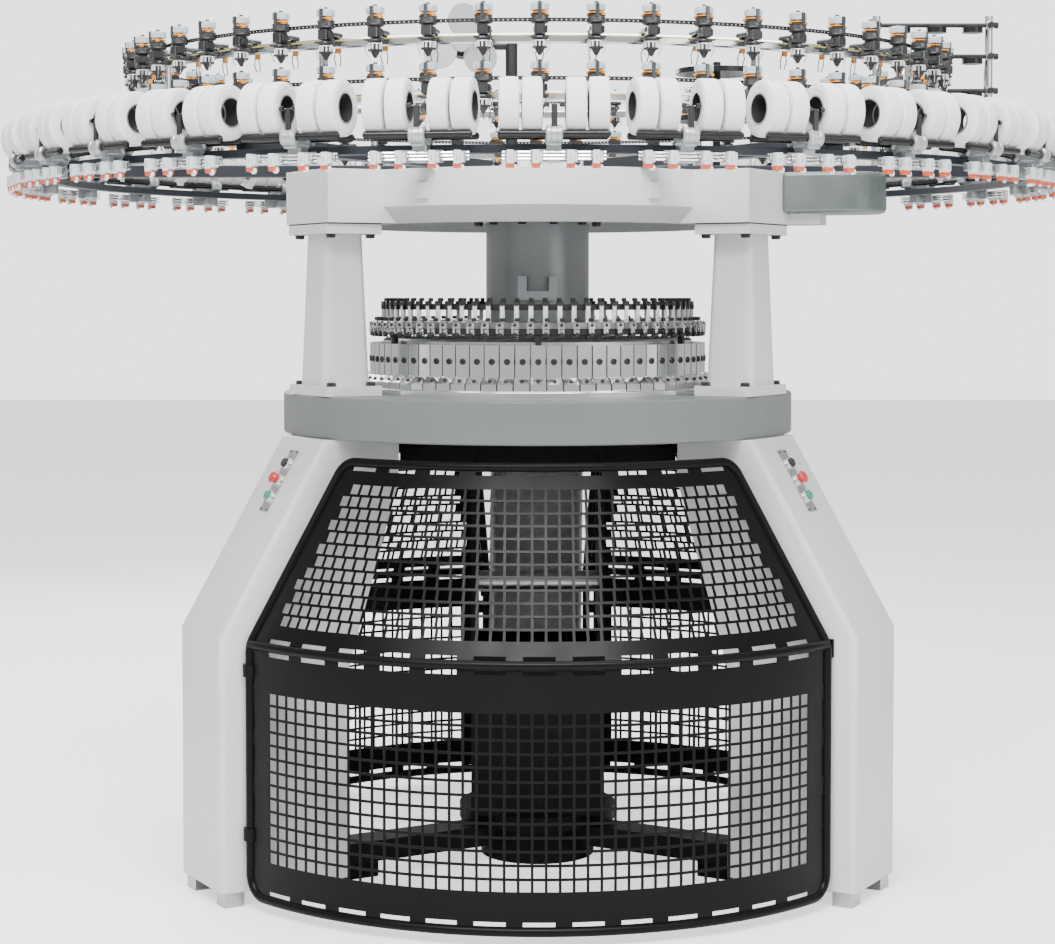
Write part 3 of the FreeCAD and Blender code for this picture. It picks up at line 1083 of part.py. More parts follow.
labels = [thing.Label for thing in made]
if len(set(labels)) != len(labels) or len(labels) > 60:
    raise RuntimeError("labels repeat or are too many: %d" % len(labels))

os.makedirs("parts", exist_ok=True)
for thing in made:
    shape = thing.Shape
    if shape.isNull() or not shape.isValid() or not shape.Solids:
        raise RuntimeError(thing.Label + " has no valid solid")
    shape.exportStep("parts/%s.step" % thing.Label)
    print("%-22s solids %4d  volume %10.1f cm3" % (thing.Label, len(shape.Solids), shape.Volume / 1000))
print(len(made), "nodes")
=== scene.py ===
import json
import math

import bmesh
import bpy
import numpy as np
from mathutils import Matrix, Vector


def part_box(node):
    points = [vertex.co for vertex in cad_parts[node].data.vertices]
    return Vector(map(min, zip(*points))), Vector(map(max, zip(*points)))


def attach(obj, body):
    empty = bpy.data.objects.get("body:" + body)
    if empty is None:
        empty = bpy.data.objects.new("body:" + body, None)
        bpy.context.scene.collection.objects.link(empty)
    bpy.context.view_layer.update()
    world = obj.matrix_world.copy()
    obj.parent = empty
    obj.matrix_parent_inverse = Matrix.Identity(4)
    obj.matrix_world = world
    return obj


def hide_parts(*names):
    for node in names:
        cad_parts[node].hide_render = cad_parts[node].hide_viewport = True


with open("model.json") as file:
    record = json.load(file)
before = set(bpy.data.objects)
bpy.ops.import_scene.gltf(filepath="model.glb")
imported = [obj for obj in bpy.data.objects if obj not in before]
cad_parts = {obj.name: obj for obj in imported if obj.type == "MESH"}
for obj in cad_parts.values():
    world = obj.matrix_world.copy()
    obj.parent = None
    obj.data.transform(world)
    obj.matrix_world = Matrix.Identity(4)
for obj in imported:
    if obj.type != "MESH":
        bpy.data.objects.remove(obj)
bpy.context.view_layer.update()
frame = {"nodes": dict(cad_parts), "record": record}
nodes = frame["nodes"]
print("frame loaded:", len(nodes), "nodes")


# camera, light and floor
view = {"place": (-0.03, -6.75, 1.67), "pitch": 2.2, "lens": 76.8, "shiftY": -0.083}
camera = bpy.data.cameras.new("camera")
camera.lens = view["lens"]
camera.shift_y = view["shiftY"]
camera.clip_end = 60
cameraObject = bpy.data.objects.new("camera", camera)
cameraObject.location = view["place"]
cameraObject.rotation_euler = (math.radians(90 - view["pitch"]), 0, 0)
bpy.context.scene.collection.objects.link(cameraObject)
bpy.context.scene.camera = cameraObject

lamps = {
    "keyLamp": {"place": (-3.6, -5.2, 5.6), "aim": (0, 0, 1.2), "size": 3.4, "power": 170},
    "fillLamp": {"place": (4.6, -4.6, 3.4), "aim": (0, 0, 1.2), "size": 3.6, "power": 90},
    "topLamp": {"place": (0.4, 0.6, 6.4), "aim": (0, 0, 1.0), "size": 4.2, "power": 380},
    "backLamp": {"place": (-2.6, 5.4, 4.2), "aim": (0, 0, 1.3), "size": 3.4, "power": 240},
    "frontLamp": {"place": (0.0, -5.0, 5.7), "aim": (0, -0.9, 1.0), "size": 5.0, "deep": 1.4, "power": 700},
}
for name, lamp in lamps.items():
    light = bpy.data.lights.new(name, "AREA")
    light.shape = "RECTANGLE"
    light.size = lamp["size"]
    light.size_y = lamp.get("deep", lamp["size"])
    light.energy = lamp["power"]
    lightObject = bpy.data.objects.new(name, light)
    lightObject.location = lamp["place"]
    aim = Vector(lamp["aim"]) - Vector(lamp["place"])
    lightObject.rotation_euler = aim.to_track_quat("-Z", "Y").to_euler()
    bpy.context.scene.collection.objects.link(lightObject)

world = bpy.data.worlds.new("studio")
bpy.context.scene.world = world
world.use_nodes = True
backdrop = world.node_tree.nodes["Background"]
backdrop.inputs["Color"].default_value = (0.96, 0.965, 0.97, 1)
# what the camera sees directly is brighter than the light that falls on the machine
seen = world.node_tree.nodes.new("ShaderNodeLightPath")
strength = world.node_tree.nodes.new("ShaderNodeMapRange")
strength.inputs["To Min"].default_value = 0.65
strength.inputs["To Max"].default_value = 2.6
world.node_tree.links.new(seen.outputs["Is Camera Ray"], strength.inputs["Value"])
world.node_tree.links.new(strength.outputs["Result"], backdrop.inputs["Strength"])


# shader groups
def newGroup(name, inputs, outputs):
    group = bpy.data.node_groups.new(name, "ShaderNodeTree")
    for label, kind, value in inputs:
        socket = group.interface.new_socket(label, in_out="INPUT", socket_type=kind)
        socket.default_value = value
    for label, kind in outputs:
        group.interface.new_socket(label, in_out="OUTPUT", socket_type=kind)
    entry = group.nodes.new("NodeGroupInput")
    leave = group.nodes.new("NodeGroupOutput")
    return group, entry, leave


def noiseNode(tree, scale, detail=3.0, roughness=0.55):
    noise = tree.nodes.new("ShaderNodeTexNoise")
    noise.inputs["Scale"].default_value = scale
    noise.inputs["Detail"].default_value = detail
    noise.inputs["Roughness"].default_value = roughness
    return noise


def linked(tree, pairs):
    for source, target in pairs:
        tree.links.new(source, target)


def rangeNode(tree, low, high):
    mapping = tree.nodes.new("ShaderNodeMapRange")
    mapping.inputs["To Min"].default_value = low
    mapping.inputs["To Max"].default_value = high
    return mapping


def finishTail(group, entry, leave, blend, mixer, patch, spread, grain):
    # colour blends Base to Shade, roughness runs from Rough Low to Rough High, height is the grain
    linked(group, [
        (blend.outputs["Fac"], mixer.inputs["Factor"]), (entry.outputs["Base"], mixer.inputs[6]),
        (entry.outputs["Shade"], mixer.inputs[7]), (mixer.outputs[2], leave.inputs["Colour"]),
        (patch.outputs["Fac"], spread.inputs["Value"]), (entry.outputs["Rough Low"], spread.inputs["To Min"]),
        (entry.outputs["Rough High"], spread.inputs["To Max"]),
        (spread.outputs["Result"], leave.inputs["Roughness"]), (grain.outputs["Fac"], leave.inputs["Height"]),
    ])


def makeFinishGroup():
    # broad cloudy colour, finer roughness and a grain height, all from noise on Object coordinates
    group, entry, leave = newGroup("paintFinish", [
        ("Base", "NodeSocketColor", (0.5, 0.5, 0.5, 1)), ("Shade", "NodeSocketColor", (0.4, 0.4, 0.4, 1)),
        ("Cloud Scale", "NodeSocketFloat", 2.0), ("Grain Scale", "NodeSocketFloat", 300.0),
        ("Rough Low", "NodeSocketFloat", 0.3), ("Rough High", "NodeSocketFloat", 0.5),
    ], [("Colour", "NodeSocketColor"), ("Roughness", "NodeSocketFloat"), ("Height", "NodeSocketFloat")])
    coordinates = group.nodes.new("ShaderNodeTexCoord")
    cloud, patch, grain = noiseNode(group, 2.0), noiseNode(group, 9.0), noiseNode(group, 300.0, 2.0)
    mixer = group.nodes.new("ShaderNodeMix")
    mixer.data_type = "RGBA"
    spread = group.nodes.new("ShaderNodeMapRange")
    spread.inputs["From Min"].default_value = 0.35
    spread.inputs["From Max"].default_value = 0.65
    for noise in (cloud, patch, grain):
        linked(group, [(coordinates.outputs["Object"], noise.inputs["Vector"])])
    linked(group, [(entry.outputs["Cloud Scale"], cloud.inputs["Scale"]),
                   (entry.outputs["Grain Scale"], grain.inputs["Scale"])])
    finishTail(group, entry, leave, cloud, mixer, patch, spread, grain)
    return group


def makeGrainGroup():
    # fine streaks: noise squeezed along one axis, as a file, a belt or a lathe leaves on metal
    group, entry, leave = newGroup("metalGrain", [
        ("Base", "NodeSocketColor", (0.7, 0.7, 0.7, 1)), ("Shade", "NodeSocketColor", (0.5, 0.5, 0.5, 1)),
        ("Stretch", "NodeSocketVector", (40.0, 40.0, 900.0)),
        ("Rough Low", "NodeSocketFloat", 0.2), ("Rough High", "NodeSocketFloat", 0.35),
    ], [("Colour", "NodeSocketColor"), ("Roughness", "NodeSocketFloat"), ("Height", "NodeSocketFloat")])
    coordinates = group.nodes.new("ShaderNodeTexCoord")
    squeeze = group.nodes.new("ShaderNodeVectorMath")
    squeeze.operation = "MULTIPLY"
    streaks, smear = noiseNode(group, 1.0, 2.0), noiseNode(group, 6.0, 4.0)
    spread = rangeNode(group, 0.2, 0.35)
    mixer = group.nodes.new("ShaderNodeMix")
    mixer.data_type = "RGBA"
    linked(group, [(coordinates.outputs["Object"], squeeze.inputs[0]),
                   (entry.outputs["Stretch"], squeeze.inputs[1]),
                   (squeeze.outputs[0], streaks.inputs["Vector"]),
                   (coordinates.outputs["Object"], smear.inputs["Vector"])])
    finishTail(group, entry, leave, smear, mixer, streaks, spread, streaks)
    return group


finishGroup = makeFinishGroup()
grainGroup = makeGrainGroup()


# materials
def colour4(values):
    return tuple(values) + (1.0,)


def paintedShadeUnder(tree, finish, shader, share):
    # painted shade: the colour is multiplied by a grey that falls from white to 1 - share as the face turns
    # downward, standing for the shade under things
    geometry = tree.nodes.new("ShaderNodeNewGeometry")
    parts = tree.nodes.new("ShaderNodeSeparateXYZ")
    fall = tree.nodes.new("ShaderNodeMapRange")
    fall.inputs["From Min"].default_value = -0.85
    fall.inputs["From Max"].default_value = -0.15
    fall.inputs["To Min"].default_value = 1 - share
    mixer = tree.nodes.new("ShaderNodeMix")
    mixer.data_type = "RGBA"
    mixer.blend_type = "MULTIPLY"
    mixer.inputs["Factor"].default_value = 1.0
    linked(tree, [(geometry.outputs["True Normal"], parts.inputs["Vector"]),
                  (parts.outputs["Z"], fall.inputs["Value"]), (finish.outputs["Colour"], mixer.inputs[6]),
                  (fall.outputs["Result"], mixer.inputs[7]), (mixer.outputs[2], shader.inputs["Base Color"])])


def newMaterial(name, group, look):
    # a Principled surface fed by one of the groups; look holds the colours, roughness and bump
    material = bpy.data.materials.new(name)
    material.use_nodes = True
    tree = material.node_tree
    shader = tree.nodes["Principled BSDF"]
    finish = tree.nodes.new("ShaderNodeGroup")
    finish.node_tree = group
    finish.inputs["Base"].default_value = colour4(look["base"])
    finish.inputs["Shade"].default_value = colour4(look["shade"])
    finish.inputs["Rough Low"].default_value = look["rough"][0]
    finish.inputs["Rough High"].default_value = look["rough"][1]
    for label, key in (("Cloud Scale", "cloud"), ("Grain Scale", "grain"), ("Stretch", "stretch")):
        if key in look:
            finish.inputs[label].default_value = look[key]
    bump = tree.nodes.new("ShaderNodeBump")
    bump.inputs["Strength"].default_value = look.get("bump", 0.1)
    bump.inputs["Distance"].default_value = look.get("depth", 0.0005)
    linked(tree, [(finish.outputs["Colour"], shader.inputs["Base Color"]),
                  (finish.outputs["Roughness"], shader.inputs["Roughness"]),
                  (finish.outputs["Height"], bump.inputs["Height"]),
                  (bump.outputs["Normal"], shader.inputs["Normal"])])
    # downward faces get painted shade when the look asks for it
    if "under" in look:
        paintedShadeUnder(tree, finish, shader, look["under"])
    shader.inputs["Metallic"].default_value = look.get("metal", 0.0)
    shader.inputs["Coat Weight"].default_value = look.get("coat", 0.0)
    shader.inputs["Coat Roughness"].default_value = look.get("coatRough", 0.1)
    shader.inputs["Specular IOR Level"].default_value = look.get("specular", 0.5)
    material.diffuse_color = colour4(look["base"])
    return material


def paint(name, base, shade, rough, **more):
    return newMaterial(name, finishGroup, dict(base=base, shade=shade, rough=rough, **more))


def metal(name, base, shade, rough, **more):
    return newMaterial(name, grainGroup, dict(base=base, shade=shade, rough=rough, metal=1.0, **more))


# the white enamel carries painted shade on its downward faces (under)
whiteEnamel = paint("whiteEnamel", (0.70, 0.71, 0.71), (0.62, 0.63, 0.635), (0.30, 0.42), cloud=1.3,
                    grain=420.0, bump=0.12, coat=0.25, coatRough=0.18, under=0.55)
bedEnamel = paint("bedEnamel", (0.185, 0.195, 0.197), (0.160, 0.170, 0.172), (0.38, 0.50), cloud=3.0,
                  grain=700.0, bump=0.12)
drumEnamel = paint("drumEnamel", (0.30, 0.315, 0.32), (0.24, 0.25, 0.255), (0.28, 0.38), cloud=5.0,
                   grain=800.0, bump=0.10, metal=0.35)
powderBlack = paint("powderBlack", (0.0022, 0.0023, 0.0028), (0.0040, 0.0041, 0.0050), (0.30, 0.38),
                    cloud=4.0, grain=1100.0, bump=0.12, depth=0.0003, specular=0.13)
blackSteel = paint("blackSteel", (0.018, 0.018, 0.019), (0.035, 0.035, 0.036), (0.32, 0.48), cloud=20.0,
                   grain=900.0, bump=0.15, metal=0.5)
navyCoat = paint("navyCoat", (0.009, 0.012, 0.018), (0.014, 0.018, 0.026), (0.34, 0.46), cloud=5.0,
                 grain=900.0, bump=0.15)
driveEnamel = paint("driveEnamel", (0.185, 0.215, 0.21), (0.13, 0.155, 0.15), (0.26, 0.40), cloud=6.0,
                    grain=500.0, bump=0.25, metal=0.45)
beltBlack = paint("beltBlack", (0.006, 0.0065, 0.007), (0.012, 0.012, 0.013), (0.55, 0.7), cloud=30.0,
                  grain=900.0, bump=0.2)
gasketBlack = paint("gasketBlack", (0.012, 0.012, 0.012), (0.02, 0.02, 0.02), (0.6, 0.75), cloud=20.0,
                    grain=900.0, bump=0.2)
rollerBlack = paint("rollerBlack", (0.008, 0.008, 0.009), (0.014, 0.014, 0.015), (0.16, 0.24), cloud=25.0,
                    grain=1200.0, bump=0.04, specular=0.35)
plasticBlack = paint("plasticBlack", (0.014, 0.014, 0.015), (0.024, 0.024, 0.025), (0.34, 0.46), cloud=40.0,
                     grain=1500.0, bump=0.1)
sensorPale = paint("sensorPale", (0.66, 0.70, 0.72), (0.58, 0.62, 0.645), (0.32, 0.44), cloud=40.0,
                   grain=1500.0, bump=0.06)
plasticWhite = paint("plasticWhite", (0.83, 0.84, 0.84), (0.76, 0.77, 0.77), (0.26, 0.36), cloud=40.0,
                     grain=1500.0, bump=0.05)
capPale = paint("capPale", (0.55, 0.62, 0.66), (0.44, 0.52, 0.57), (0.14, 0.24), cloud=60.0, grain=900.0,
                bump=0.05, coat=0.5, coatRough=0.08)
amber = paint("amber", (0.84, 0.34, 0.035), (0.72, 0.26, 0.025), (0.24, 0.34), cloud=60.0, grain=1200.0,
              bump=0.05, coat=0.3)
flagOrange = paint("flagOrange", (0.73, 0.115, 0.035), (0.62, 0.09, 0.03), (0.24, 0.34), cloud=60.0,
                   grain=1200.0, bump=0.05, coat=0.3)
tapeYellow = paint("tapeYellow", (0.62, 0.50, 0.10), (0.50, 0.40, 0.08), (0.45, 0.6), cloud=12.0,
                   grain=900.0, bump=0.1)
buttonRed = paint("buttonRed", (0.62, 0.030, 0.022), (0.52, 0.024, 0.02), (0.22, 0.32), cloud=60.0,
                  grain=1500.0, bump=0.04, coat=0.4)
buttonGreen = paint("buttonGreen", (0.015, 0.30, 0.17), (0.012, 0.24, 0.14), (0.24, 0.34), cloud=60.0,
                    grain=1500.0, bump=0.04, coat=0.4)
fanGrey = paint("fanGrey", (0.40, 0.41, 0.42), (0.34, 0.35, 0.36), (0.3, 0.42), cloud=12.0, grain=900.0,
                bump=0.05)
floorPale = paint("floorPale", (0.94, 0.94, 0.94), (0.93, 0.93, 0.93), (0.6, 0.75), cloud=0.6, grain=60.0,
                  bump=0.02)
polished = metal("polished", (0.90, 0.905, 0.91), (0.80, 0.81, 0.82), (0.10, 0.22),
                 stretch=(300.0, 300.0, 60.0), bump=0.03)
brushed = metal("brushed", (0.62, 0.63, 0.64), (0.50, 0.51, 0.52), (0.24, 0.40),
                stretch=(60.0, 60.0, 900.0), bump=0.10)
castGrey = paint("castGrey", (0.50, 0.52, 0.53), (0.40, 0.42, 0.43), (0.28, 0.42), cloud=30.0,
                 grain=900.0, bump=0.16, metal=0.55)
housingGrey = paint("housingGrey", (0.055, 0.058, 0.06), (0.16, 0.165, 0.17), (0.18, 0.30), cloud=60.0,
                    grain=900.0, bump=0.12, metal=0.75)


def makeYarn():
    # wound yarn: fine ridges along the winding width, which is the U of the piece's own map, and a soft sheen
    material = paint("yarnWhite", (0.88, 0.88, 0.87), (0.82, 0.82, 0.815), (0.62, 0.74), cloud=14.0,
                     grain=700.0, bump=0.1)
    tree = material.node_tree
    shader = tree.nodes["Principled BSDF"]
    shader.inputs["Sheen Weight"].default_value = 0.25
    shader.inputs["Sheen Roughness"].default_value = 0.4
    mapNode = tree.nodes.new("ShaderNodeUVMap")
    mapNode.uv_map = "winding"
    wave = tree.nodes.new("ShaderNodeTexWave")
    wave.bands_direction = "X"
    wave.inputs["Scale"].default_value = 9.0
    wave.inputs["Distortion"].default_value = 1.2
    wave.inputs["Detail"].default_value = 2.0
    ridge = tree.nodes.new("ShaderNodeBump")
    ridge.inputs["Strength"].default_value = 0.22
    ridge.inputs["Distance"].default_value = 0.0006
    old = tree.nodes["Bump"]
    linked(tree, [(mapNode.outputs["UV"], wave.inputs["Vector"]),
                  (wave.outputs["Fac"], ridge.inputs["Height"]),
                  (old.outputs["Normal"], ridge.inputs["Normal"]),
                  (ridge.outputs["Normal"], shader.inputs["Normal"])])
    return material


yarnWhite = makeYarn()
# the card core is real; its near-black colour is painted shade for the bore and the groove between paired
# bobbins
coreCardPaintedShade = paint("coreCardPaintedShade", (0.030, 0.029, 0.028), (0.016, 0.016, 0.016), (0.5, 0.65), cloud=20.0,
                 grain=600.0, bump=0.15)
print("materials made:", len(bpy.data.materials))


# shapes as whole arrays
# a shape is (vertices, [(faces, material number)], uv or None)
def shape(points, groups, uv=None):
    return np.asarray(points, float).reshape(-1, 3), groups, uv


def joined(shapes):
    points, groups, uvs, start = [], [], [], 0
    withUv = any(piece[2] is not None for piece in shapes)
    for piecePoints, pieceGroups, uv in shapes:
        points.append(piecePoints)
        groups += [(faces + start, number) for faces, number in pieceGroups]
        uvs.append(uv if uv is not None else np.zeros((len(piecePoints), 2)))
        start += len(piecePoints)
    return np.concatenate(points), groups, np.concatenate(uvs) if withUv else None


def copies(piece, matrices):
    # the shape once for each 4 by 4 matrix: every point times every matrix, in one product
    points, groups, uv = piece
    matrices = np.asarray(matrices, float).reshape(-1, 4, 4)
    count, size = len(matrices), len(points)
    flat = np.concatenate([points, np.ones((size, 1))], axis=1)
    placed = np.einsum("kij,nj->kni", matrices, flat)[:, :, :3].reshape(-1, 3)
    starts = np.arange(count) * size
    spread = [((faces[None] + starts[:, None, None]).reshape(-1, faces.shape[1]), number)
              for faces, number in groups]
    return placed, spread, None if uv is None else np.tile(uv, (count, 1))


def about(axis, angle):
    # a turn by an angle in degrees about x, y or z
    turn = math.radians(angle)
    c, s = math.cos(turn), math.sin(turn)
    first, second = {"x": (1, 2), "y": (2, 0), "z": (0, 1)}[axis]
    matrix = np.eye(4)
    matrix[first, first] = matrix[second, second] = c
    matrix[first, second], matrix[second, first] = -s, s
    return matrix


def at(x, y, z):
    matrix = np.eye(4)
    matrix[:3, 3] = (x, y, z)
    return matrix


def around(count, start=0.0, skip=()):
    # equal turns about the machine's axis; an azimuth is counted from the front
    return [about("z", start + 360.0 * index / count) for index in range(count) if index not in skip]


def moved(piece, *matrices):
    total = np.eye(4)
    for matrix in matrices:
        total = total @ matrix
    return copies(piece, [total])


def facingOut(points, faces):
    # turns the faces of a convex shape so that each looks away from its middle
    middle = points.mean(axis=0)
    corners = points[faces]
    normal = np.cross(corners[:, 1] - corners[:, 0], corners[:, 2] - corners[:, 0])
    inward = np.einsum("ij,ij->i", normal, corners.mean(axis=1) - middle) < 0
    faces = faces.copy()
    faces[inward] = faces[inward][:, ::-1]
    return faces


def block(centre, size, chamfer=0.0, number=0):
    # a box whose edges are cut by a chamfer: each corner becomes three points, one on each face
    signs = np.array([[x, y, z] for x in (-1, 1) for y in (-1, 1) for z in (-1, 1)], float)
    half = np.asarray(size, float) / 2
    if chamfer <= 0:
        faces = np.array([[0, 1, 3, 2], [4, 6, 7, 5], [0, 4, 5, 1], [2, 3, 7, 6], [0, 2, 6, 4], [1, 5, 7, 3]])
        points = signs * half
        return shape(points + centre, [(facingOut(points, faces), number)])
    points = np.repeat(signs[:, None, :] * (half - chamfer), 3, axis=1)
    for axis in range(3):
        points[:, axis, axis] = signs[:, axis] * half[axis]
    points = points.reshape(-1, 3)
    quads = []
    for axis in range(3):
        other, third = (axis + 1) % 3, (axis + 2) % 3
        for sign in (-1, 1):
            on = [corner for corner in range(8) if signs[corner, axis] == sign]
            on.sort(key=lambda corner: math.atan2(signs[corner, other], signs[corner, third]))
            quads.append([3 * corner + axis for corner in on])
        for first in (-1, 1):
            for second in (-1, 1):
                pair = [corner for corner in range(8)
                        if signs[corner, axis] == first and signs[corner, other] == second]
                near, far = 3 * pair[0], 3 * pair[1]
                quads.append([near + axis, far + axis, far + other, near + other])
    corners = np.arange(24).reshape(8, 3)
    return shape(points + centre, [(facingOut(points, np.array(quads)), number),
                                   (facingOut(points, corners), number)])


def turnedShape(profile, steps=24, numbers=0, closed=False):
    # a profile of (radius, height) turned about z. Radius 0 closes the end in one point
    profile = np.asarray(profile, float)
    rows = len(profile)
    angles = np.linspace(0, 2 * math.pi, steps, endpoint=False)
    ring = np.stack([np.cos(angles), np.sin(angles)], axis=1)
    heights = np.repeat(profile[:, None, 1:], steps, 1)
    points = np.concatenate([profile[:, None, :1] * ring[None], heights], axis=2)
    column = np.arange(steps)
    following = (column + 1) % steps
    groups = []
    spans = rows if closed else rows - 1
    numbers = [numbers] * spans if isinstance(numbers, int) else list(numbers)
    for row in range(spans):
        low, high = row * steps, ((row + 1) % rows) * steps
        if profile[row, 0] == 0:
            faces = np.stack([low + 0 * column, high + following, high + column], axis=1)
        elif profile[(row + 1) % rows, 0] == 0:
            faces = np.stack([low + column, low + following, high + 0 * column], axis=1)
        else:
            faces = np.stack([low + column, low + following, high + following, high + column], axis=1)
        groups.append((faces, numbers[row]))
    length = np.concatenate([[0], np.cumsum(np.hypot(*np.diff(profile, axis=0).T))])
    uv = np.stack([np.repeat(length * 20, steps), np.tile(column / steps, rows)], axis=1)
    return points.reshape(-1, 3), groups, uv


def sweptTube(path, radius, sides=12, closed=False, guide=(0, 0, 1), number=0):
    # a round tube along a path. Its cross section stands square to the path, turned towards the guide
    path = np.asarray(path, float)
    if closed:
        ahead = np.roll(path, -1, axis=0) - np.roll(path, 1, axis=0)
    else:
        ahead = np.gradient(path, axis=0)
    ahead /= np.linalg.norm(ahead, axis=1)[:, None]
    guides = np.broadcast_to(np.asarray(guide, float), path.shape)
    side = np.cross(guides, ahead)
    side /= np.linalg.norm(side, axis=1)[:, None]
    top = np.cross(ahead, side)
    angles = np.linspace(0, 2 * math.pi, sides, endpoint=False)
    points = (path[:, None] + radius * (np.cos(angles)[None, :, None] * side[:, None]
                                        + np.sin(angles)[None, :, None] * top[:, None])).reshape(-1, 3)
    count = len(path)
    row = np.arange(count if closed else count - 1)[:, None]
    column = np.arange(sides)[None]
    low, high = row * sides, ((row + 1) % count) * sides
    following = (column + 1) % sides
    faces = np.stack([low + column, low + following, high + following, high + column], axis=2).reshape(-1, 4)
    groups = [(faces, number)]
    if not closed:
        groups.append((np.arange(sides)[None, ::-1].copy(), number))
        groups.append(((count - 1) * sides + np.arange(sides)[None], number))
    return shape(points, groups)


def extruded(outline, thick, number=0):
    # a flat convex outline in x and z, given counter-clockwise seen from the front, and made thick along y
    outline = np.asarray(outline, float)
    count = len(outline)
    front = np.stack([outline[:, 0], np.full(count, -thick / 2), outline[:, 1]], axis=1)
    back = front + np.array([0, thick, 0])
    index = np.arange(count)
    after = (index + 1) % count
    sides = np.stack([index, index + count, after + count, after], axis=1)
    points = np.concatenate([front, back])
    return shape(points, [(facingOut(points, sides), number), (index[None].copy(), number),
                          ((index[::-1] + count)[None].copy(), number)])


def setMesh(mesh, points, groups, uv):
    mesh.vertices.add(len(points))
    mesh.vertices.foreach_set("co", np.asarray(points, np.float32).ravel())
    loops = np.concatenate([faces.ravel() for faces, number in groups]).astype(np.int32)
    sizes = np.concatenate([np.full(len(faces), faces.shape[1]) for faces, number in groups]).astype(np.int32)
    numbers = np.concatenate([np.full(len(faces), number) for faces, number in groups]).astype(np.int32)
    starts = np.concatenate([[0], np.cumsum(sizes)[:-1]]).astype(np.int32)
    mesh.loops.add(len(loops))
    mesh.loops.foreach_set("vertex_index", loops)
    mesh.polygons.add(len(sizes))
    mesh.polygons.foreach_set("loop_start", starts)
    mesh.polygons.foreach_set("material_index", numbers)
    mesh.polygons.foreach_set("use_smooth", np.ones(len(sizes), bool))
    mesh.update(calc_edges=True)
    if uv is not None:
        layer = mesh.uv_layers.new(name="winding")
        layer.data.foreach_set("uv", np.asarray(uv, np.float32)[loops].ravel())
    mesh.validate()


def build(name, pieces, materials, body="machine", replaces=(), sharp=32):
    # one object from shapes, at the origin, riding on its body
    points, groups, uv = joined(pieces)
    mesh = bpy.data.meshes.new(name)
    setMesh(mesh, points, groups, uv)
    mesh.set_sharp_from_angle(angle=math.radians(sharp))
    for material in materials:
        mesh.materials.append(material)
    made = bpy.data.objects.new(name, mesh)
    bpy.context.scene.collection.objects.link(made)
    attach(made, body)
    if replaces:
        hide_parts(*replaces)
    return made


def oneFinish(mesh, material):
    mesh.materials.clear()
    mesh.materials.append(material)
    mesh.polygons.foreach_set("material_index", np.zeros(len(mesh.polygons), np.int32))


def softened(node, width, material, body="machine", segments=2, angle=40):
    # a merged copy of a CAD node whose sharp edges are rounded, standing for that node
    mesh = nodes[node].data.copy()
    mesh.name = node + "_finished"
    work = bmesh.new()
    work.from_mesh(mesh)
    bmesh.ops.remove_doubles(work, verts=work.verts, dist=0.00002)
    bmesh.ops.dissolve_limit(work, angle_limit=math.radians(1.0), verts=work.verts, edges=work.edges)
    for part in list(work.faces) + list(work.edges):
        part.smooth = True
    work.to_mesh(mesh)
    work.free()
    oneFinish(mesh, material)
    if "custom_normal" in mesh.attributes:
        mesh.attributes.remove(mesh.attributes["custom_normal"])
    made = bpy.data.objects.new(node + "_finished", mesh)
    bpy.context.scene.collection.objects.link(made)
    rounding = made.modifiers.new("rounding", "BEVEL")
    rounding.width = width
    rounding.segments = segments
    rounding.limit_method = "ANGLE"
    rounding.angle_limit = math.radians(angle)
    rounding.harden_normals = True
    rounding.use_clamp_overlap = True
    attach(made, body)
    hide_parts(node)
    return made


def spanOf(node):
    # lowest and highest height of a CAD node, and how far it reaches from the axis
    low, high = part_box(node)
    mesh = nodes[node].data
    points = np.zeros(3 * len(mesh.vertices))
    mesh.vertices.foreach_get("co", points)
    return low.z, high.z, float(np.hypot(points[0::3], points[1::3]).max())


# carried CAD nodes and their finishes
slotOf = {item["node"]: item["material_slot"] for item in frame["record"]["subparts"]}
finishOf = {
    "white_enamel": whiteEnamel, "bed_grey": bedEnamel, "black_coat": powderBlack,
    "blackened_steel": blackSteel, "navy_coat": navyCoat, "drive_enamel": driveEnamel,
    "polished_steel": polished, "brushed_steel": brushed, "cast_grey": castGrey, "belt_black": beltBlack,
    "gasket_black": gasketBlack, "roller_black": rollerBlack, "yarn_white": yarnWhite,
    "sensor_grey": sensorPale, "flag_orange": flagOrange, "wheel_grey": castGrey,
    "button_red": buttonRed, "button_green": buttonGreen, "button_black": plasticBlack, "fan_grey": fanGrey,
}
for node in nodes:
    oneFinish(nodes[node].data, drumEnamel if node == "centre_drum" else finishOf[slotOf[node]])

softness = {
    "leg_front_left": 0.003, "leg_front_right": 0.003, "leg_rear": 0.003, "pillars": 0.004,
    "crown": 0.007, "bed_plate": 0.0015, "drive_housing": 0.012, "centre_drum": 0.002,
    "drum_bracket": 0.003, "creel_arms": 0.003, "levelling_feet": 0.003, "base_beams": 0.006,
    "cam_ring": 0.001,
}
for node, width in softness.items():
    finish = finishOf[slotOf[node]] if node != "centre_drum" else drumEnamel
    softened(node, width, finish)
print("castings softened")


# knitting head
camLow, camTop, camFoot = spanOf("cam_blocks")
cam = {"count": 72, "inner": 0.469, "face": 0.5, "gap": 0.34, "chamfer": 0.0012, "foot": 0.0175,
       "ledge": camLow + 0.035, "slope": 0.00875, "screwHeight": 0.08, "screw": (0.0092, 0.0034),
       "footScrew": (0.006, 0.0024), "footLean": 56}


